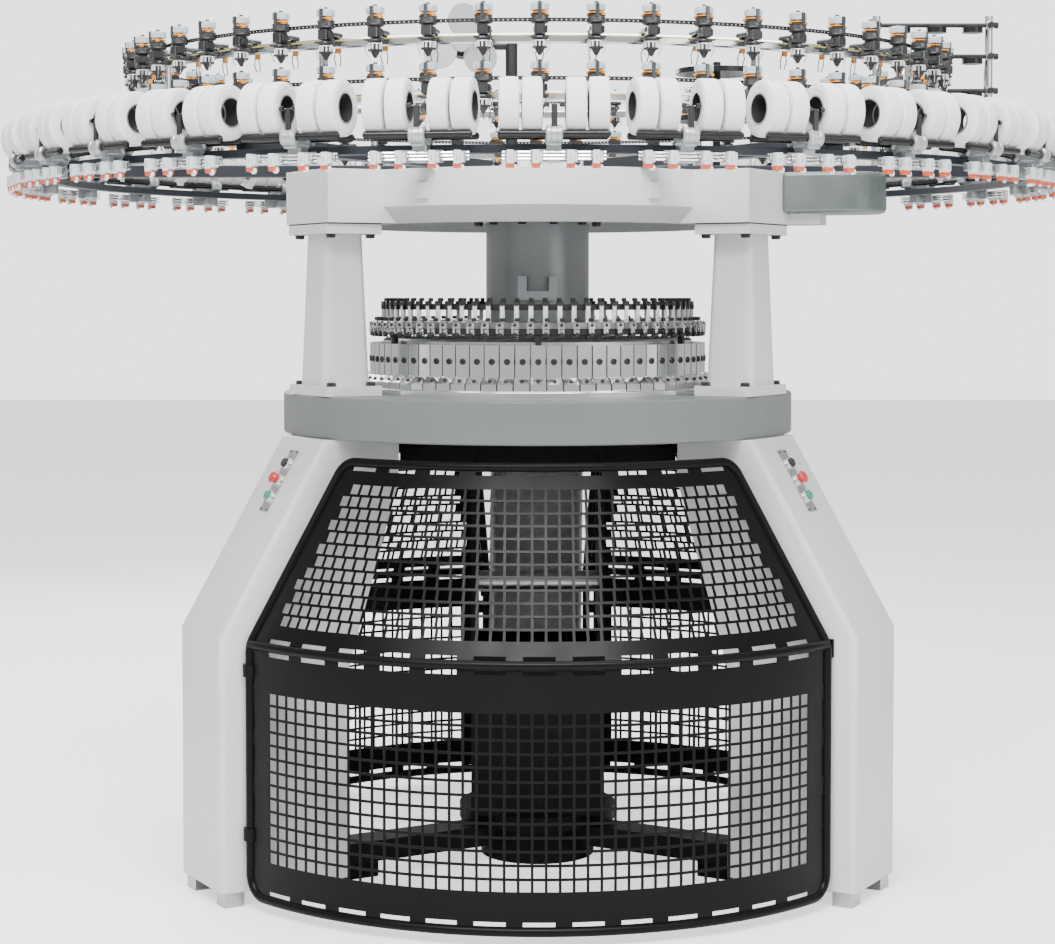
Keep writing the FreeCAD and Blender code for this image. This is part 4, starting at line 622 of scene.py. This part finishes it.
def camShape():
    # the section of (radius, height) corners, carried over four azimuths; the outer two are drawn in
    section = np.array([
        (cam["inner"], camLow), (camFoot, camLow), (camFoot, camLow + cam["foot"]),
        (cam["face"] + cam["slope"], cam["ledge"]), (cam["face"], cam["ledge"] + 0.0005),
        (cam["face"], camTop), (cam["inner"], camTop)])
    middle = section.mean(axis=0)
    half = 180.0 / cam["count"] - cam["gap"] / 2
    step = math.degrees(cam["chamfer"] / cam["face"])
    rows = []
    edge = cam["chamfer"]
    for azimuth, inset in ((-half, edge), (-half + step, 0), (half - step, 0), (half, edge)):
        radius, height = (section + inset * np.sign(middle - section)).T
        turn = math.radians(azimuth)
        rows.append(np.stack([radius * math.sin(turn), -radius * math.cos(turn), height], axis=1))
    count = len(section)
    points = np.concatenate(rows)
    index = np.arange(count)
    after = (index + 1) % count
    faces = np.concatenate([np.stack([row * count + index, (row + 1) * count + index,
                                      (row + 1) * count + after, row * count + after], axis=1)
                            for row in range(3)])
    return shape(points, [(faces[:, ::-1].copy(), 0), (index[None].copy(), 0),
                          ((3 * count + index[::-1])[None].copy(), 0)])


def socketScrew(radius, height, steps=12):
    # a round head with a sunk socket; it stands on z = 0 and looks up
    return turnedShape([(radius, 0), (radius, height * 0.7), (radius * 0.86, height), (radius * 0.5, height),
                        (radius * 0.46, height * 0.3), (0, height * 0.3)], steps)


def outwards(piece, radius, height, lean=0.0):
    # stands a shape that looks up so that it looks out of the front face, at a radius and height
    return moved(piece, at(0, -radius, height), about("x", 90 - lean))


screw = outwards(socketScrew(*cam["screw"]), cam["face"] - 0.0002, camLow + cam["screwHeight"])
footScrew = outwards(socketScrew(*cam["footScrew"]), (camFoot + cam["face"] + cam["slope"]) / 2,
                     (camLow + cam["foot"] + cam["ledge"]) / 2, cam["footLean"])
headTurns = around(cam["count"])
build("cam_blocks_detail", [copies(camShape(), headTurns)], [polished],
      replaces=["cam_blocks"], sharp=20)
fasteners = [copies(screw, headTurns), copies(footScrew, headTurns)]

guide = {"lowRing": (0.4665, 0.4905, 1.566, 1.584), "highRing": (0.438, 0.460, 1.636, 1.652), "legs": 6,
         "legPlace": 0.478, "legSize": 0.016}


def hoop(inner, outer, low, high, chamfer=0.0015, steps=144, number=0):
    profile = [(inner + chamfer, low), (outer - chamfer, low), (outer, low + chamfer),
               (outer, high - chamfer), (outer - chamfer, high), (inner + chamfer, high),
               (inner, high - chamfer), (inner, low + chamfer)]
    return turnedShape(profile, steps, number, closed=True)


lowFoot = guide["lowRing"][2]
guideLeg = block((0, -guide["legPlace"], (camTop + lowFoot) / 2),
                 (guide["legSize"], guide["legSize"], lowFoot - camTop), 0.002)
guideLegs = copies(guideLeg, around(guide["legs"]))
build("guide_rings_detail", [hoop(*guide["lowRing"]), hoop(*guide["highRing"]), guideLegs], [blackSteel],
      replaces=["guide_rings"])

halfTurns = around(cam["count"], 180.0 / cam["count"])


def carrierShape():
    # a flat white post whose hole is a black disc of painted shade, held by a black clip above and a bright
    # carrier with feed fingers below
    post = block((0, -0.4635, 1.628), (0.0135, 0.0045, 0.056), 0.001, 0)
    eye = outwards(turnedShape([(0.0024, 0), (0.0024, 0.0006), (0, 0.0006)], 8, 3), 0.4656, 1.648)
    carrier = [
        block((0, -0.4925, 1.592), (0.022, 0.014, 0.020), 0.002, 1),
        block((0.003, -0.489, 1.574), (0.014, 0.010, 0.018), 0.002, 1),
        block((-0.007, -0.4985, 1.583), (0.006, 0.010, 0.026), 0.0015, 1),
        outwards(turnedShape([(0.005, 0), (0.005, 0.003), (0.0035, 0.0045), (0, 0.0045)], 8, 3),
                 0.4985, 1.594),
    ]
    fingers = [sweptTube([(x, -0.494, 1.577), (x * 0.5 + 0.004, -0.487, 1.567), (x * 0.2, -0.473, 1.557)],
                         0.0016, 6, guide=(1, 0, 0), number=1) for x in (-0.009, 0.009)]
    return joined([post, eye] + carrier + fingers)


def clipShape():
    # black clips and knurled knobs on the rings; each is round or a small block
    knob = turnedShape([(0.0055, 0), (0.0075, 0.002), (0.0075, 0.008), (0.0055, 0.010), (0, 0.010)], 8)
    return joined([
        block((0, -0.4615, 1.6545), (0.020, 0.012, 0.013), 0.002),
        block((-0.0085, -0.4655, 1.645), (0.004, 0.005, 0.016), 0.001),
        block((0.0085, -0.4655, 1.645), (0.004, 0.005, 0.016), 0.001),
        moved(knob, at(0, -0.452, 1.6605)),
        moved(knob, at(0.004, -0.4805, 1.604)),
        outwards(knob, 0.4915, 1.5665),
        block((-0.010, -0.4935, 1.562), (0.010, 0.012, 0.009), 0.002),
    ])


build("yarn_carriers_detail", [copies(carrierShape(), halfTurns)],
      [plasticWhite, polished, amber, plasticBlack], replaces=["yarn_carriers"])
print("knitting head made")


# bolts
def hexBolt(radius, height):
    head = turnedShape([(radius, 0), (radius, height * 0.82), (radius * 0.86, height), (0, height)], 6)
    washer = turnedShape([(radius * 1.18, 0), (radius * 1.18, height * 0.2), (0, height * 0.2)], 16)
    return joined([head, washer])


pillarLow, pillarHigh, _ = spanOf("pillars")
bolt = {"radius": 0.013, "height": 0.011, "side": 0.1045, "near": 0.607, "far": 0.729, "flange": 0.028,
        "drumPlace": 0.183, "drumHeight": 1.896}
boltUp = hexBolt(bolt["radius"], bolt["height"])
boltDown = moved(boltUp, about("x", 180))
pillarTurns = around(3, 60)
for side in (-1, 1):
    for reach in (bolt["near"], bolt["far"]):
        low = at(side * bolt["side"], -reach, pillarLow + bolt["flange"])
        high = at(side * bolt["side"], -reach, pillarHigh - bolt["flange"])
        fasteners.append(copies(moved(boltUp, low), pillarTurns))
        fasteners.append(copies(moved(boltDown, high), pillarTurns))
fasteners.append(copies(moved(boltDown, at(0, -bolt["drumPlace"], bolt["drumHeight"])), around(12, 15)))
fasteners.append(copies(clipShape(), halfTurns))
build("fasteners_detail", fasteners, [plasticBlack], replaces=["fasteners"])


# bobbins and elastane rollers
unit = {"count": 30, "turn": 1.2, "place": 1.49, "roller": 0.009, "half": 0.131, "spread": 0.038,
        "height": 2.05}
bobbinLow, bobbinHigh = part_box("front_bobbins")[0].z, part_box("front_bobbins")[1].z
bobbin = {"radius": 0.068, "bore": 0.034, "wide": 0.049, "middle": (bobbinLow + bobbinHigh) / 2,
          "places": (0.051, 0.105), "card": 0.0375}


def bobbinShape():
    # yarn from one side of the card core to the other over a slightly crowned outside, then the core,
    # coloured near black as painted shade of the bore and the groove
    half, radius, card, bore = bobbin["wide"] / 2, bobbin["radius"], bobbin["card"], bobbin["bore"]
    side = [(card, 0.0010), (card + 0.006, 0.0004), (radius - 0.0100, 0.0006), (radius - 0.0088, 0.0016),
            (radius - 0.0026, 0.0024), (radius - 0.0008, 0.0046), (radius - 0.0001, 0.0120)]
    profile = [(reach, inset - half) for reach, inset in side]
    profile += [(reach, half - inset) for reach, inset in side[::-1]]
    profile += [(card, half), (bore, half), (bore, -half), (card, -half)]
    return turnedShape(profile, 36, [0] * 13 + [1, 2, 1, 2, 1], closed=True)


alongTangent = about("y", 90)
bobbinSet = [moved(bobbinShape(), at(side * place, -unit["place"], bobbin["middle"]), alongTangent)
             for place in bobbin["places"] for side in (-1, 1)]
unitTurns = around(unit["count"], unit["turn"], skip=(0,))
frontTurn = [about("z", unit["turn"])]
for name, body, turns in (("bobbins", "machine", unitTurns), ("front_bobbins", "front_bobbins", frontTurn)):
    build(name + "_detail", [copies(joined(bobbinSet), turns)], [yarnWhite, coreCardPaintedShade, brushed], body=body,
          replaces=[name], sharp=28)


def rollerShape(side):
    radius, half = unit["roller"], unit["half"]
    profile = [(0, -half), (radius * 0.55, -half), (radius * 0.7, -half + 0.002), (radius, -half + 0.003),
               (radius, half - 0.003), (radius * 0.7, half - 0.002), (radius * 0.55, half), (0, half)]
    place = at(0, -unit["place"] + side * unit["spread"], unit["height"])
    return moved(turnedShape(profile, 16), place, alongTangent)


rollerSets = (("elastane_rollers", "machine", (-1, 1), unitTurns),
              ("front_roller_outer", "front_roller_outer", (-1,), frontTurn),
              ("front_roller_inner", "front_roller_inner", (1,), frontTurn))
for name, body, sides, turns in rollerSets:
    build(name + "_detail", [copies(joined([rollerShape(side) for side in sides]), turns)], [rollerBlack],
          body=body, replaces=[name])


def hubShape():
    # a cast arm with a round boss about each roller, a foot to the ring, and a dark bar for the bobbins
    y, z, reach = -unit["place"], unit["height"], unit["spread"]
    ring = [(0.0095, -0.019), (0.0150, -0.020), (0.0205, -0.017), (0.0215, -0.009), (0.0195, -0.007),
            (0.0195, 0.007), (0.0215, 0.009), (0.0205, 0.017), (0.0150, 0.020), (0.0095, 0.019)]
    bosses = [moved(turnedShape(ring, 20, closed=True), at(0, y + side * reach, z), alongTangent)
              for side in (-1, 1)]
    tips = [moved(turnedShape([(0.0062, 0.0), (0.0062, 0.010), (0.0045, 0.012), (0, 0.012)], 10, 1),
                  at(0, y - 0.045, 2.117), about("y", side * 90), at(0, 0, 0.012)) for side in (-1, 1)]
    wires = [sweptTube([(0, y - 0.045, 2.117), (side * 0.024, y - 0.045, 2.117),
                        (side * 0.045, y - 0.020, 2.114), (side * 0.075, y, 2.112)],
                       0.0012, 6, guide=(0, 0, 1), number=2) for side in (-1, 1)]
    return joined(bosses + tips + wires + [
        block((0, y, z - 0.004), (0.030, 0.050, 0.030), 0.004, 0),
        block((0, y, z - 0.020), (0.034, 0.084, 0.014), 0.003, 0),
        block((0, y + 0.005, 2.016), (0.034, 0.026, 0.030), 0.003, 0),
        block((0, -1.4885, 2.008), (0.034, 0.043, 0.044), 0.003, 0),
        block((0, -1.4985, 2.0005), (0.110, 0.006, 0.030), 0.001, 0),
        block((0, y - 0.045, 2.090), (0.014, 0.008, 0.056), 0.0015, 1),
    ])


build("roller_brackets_detail", [copies(hubShape(), around(unit["count"], unit["turn"]))],
      [castGrey, plasticBlack, polished],
      replaces=["roller_brackets"])
print("elastane units made")


# yarn sensors
sensor = {"places": (-0.1, -0.04, 0.04, 0.1), "front": -1.544, "back": -1.518, "top": 2.012, "low": 1.9800}


def sensorShape():
    # a pale housing with a notch, a thin black strip in its face as the painted shade of its slot, an orange
    # shoe and a white roller beside it
    middle = (sensor["front"] + sensor["back"]) / 2
    deep = sensor["back"] - sensor["front"]
    height = sensor["top"] - sensor["low"]
    face = sensor["front"]
    centre = sensor["low"] + height / 2
    housing = [block((-0.0025, middle, centre), (0.0165, deep, height), 0.0016, 0),
               block((0.0090, middle + 0.002, centre), (0.0070, deep - 0.005, height - 0.008), 0.001, 0),
               block((0, middle + 0.006, sensor["low"] + 0.022), (0.031, 0.013, 0.017), 0.001, 4)]
    # painted shade: the slot is not cut, a flat black strip stands for its dark opening
    slot = block((-0.0025, face + 0.0002, sensor["low"] + 0.014), (0.0012, 0.0006, 0.011), 0, 3)
    comb = [block((x, middle, sensor["low"] - 0.0055), (0.0062, deep - 0.006, 0.0090), 0.0016, 1)
            for x in (-0.0090, -0.0025, 0.0040)]
    comb.append(block((-0.0025, middle, sensor["low"] - 0.0016), (0.0215, deep - 0.006, 0.0030), 0.0006, 1))
    roller = moved(turnedShape([(0, -0.0035), (0.0062, -0.0035), (0.0078, -0.002), (0.0078, 0.002),
                                (0.0062, 0.0035), (0.0022, 0.0038), (0, 0.0025)], 12, 2),
                   at(0.0060, middle - 0.004, 1.9722), about("x", 90))
    return joined(housing + [slot] + comb + [roller])


def withPlaces(piece):
    return joined([moved(piece, at(x, 0, 0)) for x in sensor["places"]])


allUnits = around(unit["count"], unit["turn"])
sensorPoints, sensorGroups, sensorUv = withPlaces(sensorShape())
bodies = [(faces, {0: 0, 3: 1, 4: 2}[number]) for faces, number in sensorGroups if number in (0, 3, 4)]
flags = [(faces, number - 1) for faces, number in sensorGroups if number in (1, 2)]
build("sensor_bodies_detail", [copies((sensorPoints, bodies, None), allUnits)],
      [sensorPale, plasticBlack, castGrey],
      replaces=["sensor_bodies"])
build("sensor_flags_detail", [copies((sensorPoints, flags, None), allUnits)], [flagOrange, plasticWhite],
      replaces=["sensor_flags"])
rods = [moved(turnedShape([(0, -0.1205), (0.0032, -0.1205), (0.0032, 0.1205), (0, 0.1205)], 8),
              at(0, -1.514, height), alongTangent) for height in (2.008, 2.0, 1.992)]
build("sensor_rods_detail", [copies(joined(rods), allUnits)], [polished],
      replaces=["sensor_rods"])
print("sensors made")


# feeders, rails and belts
feeder = {
    "count": 54, "place": 1.1953, "belts": (2.356, 2.213),
    "cap": [(0, 0.0195), (0.0205, 0.0195), (0.0215, 0.022), (0.0215, 0.034), (0.0190, 0.037), (0, 0.0375)],
    "band": [(0, 0.0115), (0.0180, 0.0115), (0.0205, 0.0130), (0.0205, 0.0155), (0, 0.0155)],
    "arm": [(0, -0.006), (0.018, -0.007), (0.0205, -0.002), (0.010, 0.006), (0, 0.006)],
    "highPulley": [(0.0222, 0.0055), (0.0235, 0.0062), (0.0235, 0.0085), (0, 0.0085)],
    "groove": [(0.0222, -0.0055), (0.0222, 0.0055)],
    "lowPulley": [(0, -0.0115), (0.0200, -0.0115), (0.0240, -0.0085), (0.0235, -0.0060), (0.0222, -0.0055)],
    "hood": [(0, -0.0505), (0.018, -0.0505), (0.0225, -0.0475), (0.0215, -0.044), (0.012, -0.0415),
             (0, -0.0415)],
    "boss": [(0, -0.030), (0.015, -0.030), (0.0165, -0.028), (0.0165, -0.020), (0.015, -0.018), (0, -0.018)],
    "knob": [(0.0050, 0.037), (0.0062, 0.039), (0.0045, 0.0430), (0, 0.0438)],
    "drum": [(0.0150, -0.0690), (0.0150, -0.0550)],
    "rim": [(0, -0.0560), (0.0180, -0.0560), (0.0180, -0.0535), (0, -0.0535)],
    "cone": [(0, -0.0900), (0.0035, -0.0895), (0.0125, -0.0740), (0.0190, -0.0725), (0.0190, -0.0690),
             (0, -0.0690)],
}


def feederStill():
    # heights are counted from the belt's middle: housing, clamp, an arm over the rail with a tab, wires
    wires = [sweptTube([(side * 0.017, -0.006, -0.048), (side * 0.0235, -0.009, -0.060),
                        (side * 0.0230, -0.008, -0.074), (side * 0.015, -0.006, -0.088)], 0.0011, 5,
                       guide=(0, 1, 0), number=1) for side in (-1, 1)]
    wires += [sweptTube([(side * 0.005, 0.054, -0.060), (side * 0.010, 0.056, -0.080),
                         (side * 0.006, 0.060, -0.100)], 0.0014, 5, guide=(1, 0, 0), number=0)
              for side in (-1, 1)]
    return joined([
        block((0, -0.0035, -0.0265), (0.027, 0.034, 0.027), 0.003, 2),
        block((0, -0.0215, -0.0265), (0.019, 0.003, 0.020), 0.0008, 0),
        block((0.0165, -0.004, -0.0265), (0.006, 0.022, 0.018), 0.002, 0),
        block((0, 0.020, -0.042), (0.024, 0.016, 0.020), 0.003, 2),
        block((0, 0.034, -0.0235), (0.030, 0.056, 0.012), 0.004, 2),
        turnedShape(feeder["boss"], 10, 2),
        block((0, 0.053, -0.041), (0.020, 0.014, 0.024), 0.003, 2),
        block((0.003, 0.055, -0.060), (0.014, 0.011, 0.014), 0.002, 3),
        turnedShape(feeder["hood"], 10, 0),
        block((-0.018, -0.013, -0.0455), (0.010, 0.008, 0.004), 0, 0),
        block((0.018, -0.013, -0.0455), (0.010, 0.008, 0.004), 0, 0),
    ] + wires)


def feederWheel():
    # knob, ribbed cap, two amber arms, belt pulleys, the ribbed white wheel that winds the yarn, and the cone
    ribs = [moved(block((0, -0.0165, -0.062), (0.0034, 0.0045, 0.013), 0, 1), about("z", 36.0 * index))
            for index in range(10)]
    capRibs = [moved(block((0, -0.0215, 0.0285), (0.0038, 0.005, 0.016), 0, 3), about("z", 45.0 * index + 22))
               for index in range(8)]
    arms = [moved(extruded(feeder["arm"], 0.009, 4), about("z", angle), at(0.003, -0.008, 0.0142))
            for angle in (0, 180)]
    arms.append(turnedShape(feeder["band"], 12, 4))
    return joined([
        turnedShape(feeder["knob"], 8, 0),
        turnedShape(feeder["cap"], 12, 3),
        block((0, -0.0215, 0.0205), (0.0085, 0.007, 0.034), 0.001, 2),
        turnedShape(feeder["highPulley"], 14, 0),
        turnedShape(feeder["groove"], 14, 2),
        turnedShape(feeder["lowPulley"], 14, 0),
        turnedShape(feeder["drum"], 10, 0),
        turnedShape(feeder["rim"], 12, 1),
        turnedShape(feeder["cone"], 10, 0),
    ] + ribs + capRibs + arms)


stacks = [turn @ at(0, -feeder["place"], height) for height in feeder["belts"]
          for turn in around(feeder["count"])]
stillMaterials = [plasticBlack, polished, housingGrey, amber]
build("feeder_bodies_detail", [copies(feederStill(), stacks)], stillMaterials,
      replaces=["feeder_bodies"])
wheelMaterials = [plasticBlack, plasticWhite, housingGrey, capPale, amber]
build("feeder_wheels_detail", [copies(feederWheel(), stacks[1:])], wheelMaterials,
      replaces=["feeder_wheels"])
build("feeder_wheel_front_detail", [copies(feederWheel(), stacks[:1])], wheelMaterials, body="front_feeder",
      replaces=["feeder_wheel_front"])


def perforatedBelt(middle, outer=1.171, thick=0.0012, high=0.010, pitch=0.0120, hole=0.0026):
    # a tape with a row of square holes: a grid round the ring whose hole cells are left out
    count = int(2 * math.pi * outer / pitch)
    share = hole / pitch / 2
    edges = np.arange(count)[:, None] + np.array([0.5 - share, 0.5 + share])[None]
    angles = edges.ravel() * 2 * math.pi / count
    heights = middle + np.array([-high / 2, -hole / 2, hole / 2, high / 2])
    layers = []
    for radius in (outer, outer - thick):
        ring = np.stack([np.sin(angles) * radius, -np.cos(angles) * radius], axis=1)
        layers.append(np.concatenate([np.repeat(ring[:, None], 4, 1),
                                      np.broadcast_to(heights[None, :, None], (len(ring), 4, 1))], axis=2))
    points = np.concatenate([layer.reshape(-1, 3) for layer in layers])
    size = 4 * len(angles)
    column = np.arange(len(angles))
    after = (column + 1) % len(angles)
    groups = []
    for row in range(3):
        keep = np.ones(len(column), bool) if row != 1 else column % 2 == 1
        c, a = column[keep], after[keep]
        face = np.stack([4 * c + row, 4 * a + row, 4 * a + row + 1, 4 * c + row + 1], axis=1)
        groups += [(face, 0), (face[:, ::-1] + size, 0)]
    for row, flip in ((0, 1), (3, -1)):
        near, far = 4 * column + row, 4 * after + row
        rim = np.stack([near, near + size, far + size, far], axis=1)
        groups.append((rim[:, ::flip].copy(), 0))
    c, a = column[::2], after[::2]
    walls = [np.stack([4 * c + 1, 4 * c + 1 + size, 4 * c + 2 + size, 4 * c + 2], axis=1)[:, ::-1],
             np.stack([4 * a + 1, 4 * a + 1 + size, 4 * a + 2 + size, 4 * a + 2], axis=1),
             np.stack([4 * c + 1, 4 * a + 1, 4 * a + 1 + size, 4 * c + 1 + size], axis=1)[:, ::-1],
             np.stack([4 * c + 2, 4 * a + 2, 4 * a + 2 + size, 4 * c + 2 + size], axis=1)]
    groups += [(wall.copy(), 0) for wall in walls]
    return shape(points, groups)


build("feeder_belts_detail", [perforatedBelt(height) for height in feeder["belts"]], [beltBlack],
      replaces=["feeder_belts"])
rail = {"inner": 1.153, "face": 1.1664, "outer": 1.167, "drop": 0.0445, "half": 0.0125, "edge": 0.004}
railParts = []
for height in feeder["belts"]:
    middle = height - rail["drop"]
    railParts.append(hoop(rail["inner"], rail["face"], middle - rail["half"], middle + rail["half"],
                          rail["edge"], 180, 0))
    railParts.append(hoop(rail["face"], rail["outer"], middle + 0.0045, middle + 0.0075, 0.0002, 180, 1))
build("feeder_rails_detail", railParts, [polished, tapeYellow],
      replaces=["feeder_rails"])
print("feeder rings made")


# guard doors
door = {"radius": 1.02, "angle": 50.25, "low": 0.04, "knee": 0.728, "top": 1.218, "topRadius": 0.76,
        "topAngle": 44.5, "tube": 0.013, "lowBend": 0.06, "kneeBend": 0.02, "topBend": 0.038}


def polar(radius, azimuth, height):
    turn = np.radians(azimuth)
    return np.stack([radius * np.sin(turn), -radius * np.cos(turn), height + 0 * turn], axis=-1)


def bentCorner(before, corner, after, reach, steps=7):
    # an arc that leaves one side of the corner and meets the other, square to both radii
    back = (before - corner) / np.linalg.norm(before - corner)
    ahead = (after - corner) / np.linalg.norm(after - corner)
    half = math.acos(float(back @ ahead)) / 2
    centre = corner + (back + ahead) / np.linalg.norm(back + ahead) * reach / math.cos(half)
    first, last = corner + back * reach - centre, corner + ahead * reach - centre
    share = np.linspace(0, 1, steps)[:, None]
    sweep = math.pi - 2 * half
    return centre + (np.sin((1 - share) * sweep) * first + np.sin(share * sweep) * last) / math.sin(sweep)


def doorPath():
    lowEnd = door["angle"] - math.degrees(math.atan(door["lowBend"] / door["radius"]))
    topEnd = door["topAngle"] - math.degrees(math.atan(door["topBend"] / door["topRadius"]))
    parts = [polar(door["radius"], np.linspace(-lowEnd, lowEnd, 61), door["low"])]
    sides = []
    for side in (1, -1):
        lowTouch = polar(door["radius"], np.float64(side * lowEnd), door["low"])
        lowCorner = lowTouch + polar(1, np.float64(side * (lowEnd + 90)), 0) * door["lowBend"]
        topTouch = polar(door["topRadius"], np.float64(side * topEnd), door["top"])
        topCorner = topTouch + polar(1, np.float64(side * (topEnd + 90)), 0) * door["topBend"]
        knee = np.array([lowCorner[0], lowCorner[1], door["knee"]])
        sides.append(np.concatenate([bentCorner(lowTouch, lowCorner, knee, door["lowBend"], 9)[1:],
                                     bentCorner(lowCorner, knee, topCorner, door["kneeBend"], 4),
                                     bentCorner(knee, topCorner, topTouch, door["topBend"], 9)[:-1]]))
    topArc = polar(door["topRadius"], np.linspace(topEnd, -topEnd, 49), door["top"])
    parts += [sides[0], topArc, sides[1][::-1]]
    return np.concatenate(parts)


def radial(path):
    flat = path * np.array([1, 1, 0])
    return flat / np.linalg.norm(flat, axis=1)[:, None]


loop = doorPath()
kneeRadius = math.hypot(door["radius"], door["lowBend"])
crossPath = polar(kneeRadius, np.linspace(-door["angle"], door["angle"], 61), door["knee"])
doorTubes = joined([sweptTube(loop, door["tube"], 16, True, radial(loop)),
                    sweptTube(crossPath, door["tube"] * 0.999, 16, False, radial(crossPath))])
for name, azimuth in (("front", 0), ("right", 120), ("left", 240)):
    node = "door_%s_frame" % name
    build(node + "_detail", [moved(doorTubes, about("z", azimuth))], [powderBlack], body="door_" + name,
          replaces=[node], sharp=60)
print("door tubes made")

# button plates
plate = {"slope": 59.435, "radius": 0.84087, "height": 1.155, "thick": 0.003, "screwX": 0.0215,
         "screwY": 0.0915}
plateTurns = [about("z", azimuth) @ at(0, -plate["radius"], plate["height"]) @ about("x", plate["slope"])
              for azimuth in (-60, 60)]
plates = softened("button_plates", 0.0007, brushed)
plates.data.materials.append(polished)


def markRaised(piece, frames, level, number):
    # gives a material to the faces that stand higher than a level in the nearer of the two plate frames
    mesh = piece.data
    centres = np.zeros(3 * len(mesh.polygons))
    mesh.polygons.foreach_get("center", centres)
    centres = centres.reshape(-1, 3)
    local = np.stack([(centres - matrix[:3, 3]) @ matrix[:3, :3] for matrix in frames])
    nearest = np.abs(local[:, :, 0]).argmin(axis=0)
    heights = local[nearest, np.arange(len(centres)), 2]
    mesh.polygons.foreach_set("material_index", np.where(heights > level, number, 0).astype(np.int32))


markRaised(plates, plateTurns, plate["thick"] + 0.0003, 1)
plateScrew = socketScrew(0.0032, 0.0018, 10)
plateScrews = [moved(plateScrew, at(x * plate["screwX"], y * plate["screwY"], plate["thick"] - 0.0002))
               for x in (-1, 1) for y in (-1, 1)]
build("button_plate_screws", [copies(joined(plateScrews), plateTurns)], [plasticBlack])
for colour, width in (("black", 0.0012), ("red", 0.0025), ("green", 0.0012)):
    for side in ("left", "right"):
        node = "button_%s_%s" % (colour, side)
        softened(node, width, finishOf[slotOf[node]], body=node, segments=3)


# tension bars, quality pulleys and fan
tension = {
    "levels": (2.480, 2.388, 2.286), "start": 0.970, "end": 1.370, "y": -0.020, "uprights": (1.010, 1.345),
    "knob": [(0.005, 0), (0.005, 0.006), (0.0095, 0.007), (0.0095, 0.015), (0.0080, 0.017), (0, 0.017)],
}


def tensionBar(level):
    # a round bar with end caps, clamped to the uprights by bright blocks with knobs
    middle, y = (tension["start"] + tension["end"]) / 2, tension["y"]
    half = (tension["end"] - tension["start"]) / 2
    bar = turnedShape([(0, -half), (0.0085, -half), (0.0095, -half + 0.002), (0.0095, -half + 0.012),
                       (0.0065, -half + 0.014), (0.0065, half - 0.014), (0.0095, half - 0.012),
                       (0.0095, half - 0.002), (0.0085, half), (0, half)], 16, 0)
    pieces = [moved(bar, at(middle, y, level), alongTangent)]
    knob = turnedShape(tension["knob"], 12, 0)
    for x in tension["uprights"]:
        pieces.append(block((x, y - 0.001, level), (0.024, 0.020, 0.022), 0.002, 1))
        pieces.append(moved(knob, at(x, y - 0.011, level), about("x", 90)))
    return joined(pieces)


build("tension_bars_detail", [tensionBar(level) for level in tension["levels"]], [blackSteel, brushed],
      replaces=["tension_bars"])
for node in ("tension_pulleys", "quality_pulleys", "fan_blades", "fan_mount", "door_fittings", "creel_posts",
             "creel_ring"):
    body = node if node in ("quality_pulleys", "fan_blades") else "machine"
    softened(node, 0.0012, finishOf[slotOf[node]], body=body)
print("fittings made")


# floor and end
floorMesh = bpy.data.meshes.new("floor")
floorMesh.from_pydata([(-30, -30, 0), (30, -30, 0), (30, 30, 0), (-30, 30, 0)], [], [(0, 1, 2, 3)])
floorMesh.materials.append(floorPale)
# the floor is as bright as the backdrop where the camera sees it directly
floorSeen = floorPale.node_tree.nodes.new("ShaderNodeLightPath")
floorGlow = floorPale.node_tree.nodes.new("ShaderNodeMapRange")
floorGlow.inputs["To Max"].default_value = 1.1
floorShader = next(item for item in floorPale.node_tree.nodes if item.type == "BSDF_PRINCIPLED")
floorShader.inputs["Emission Color"].default_value = (0.96, 0.965, 0.97, 1)
floorPale.node_tree.links.new(floorSeen.outputs["Is Camera Ray"], floorGlow.inputs["Value"])
floorPale.node_tree.links.new(floorGlow.outputs["Result"], floorShader.inputs["Emission Strength"])
floor = bpy.data.objects.new("floor", floorMesh)
bpy.context.scene.collection.objects.link(floor)
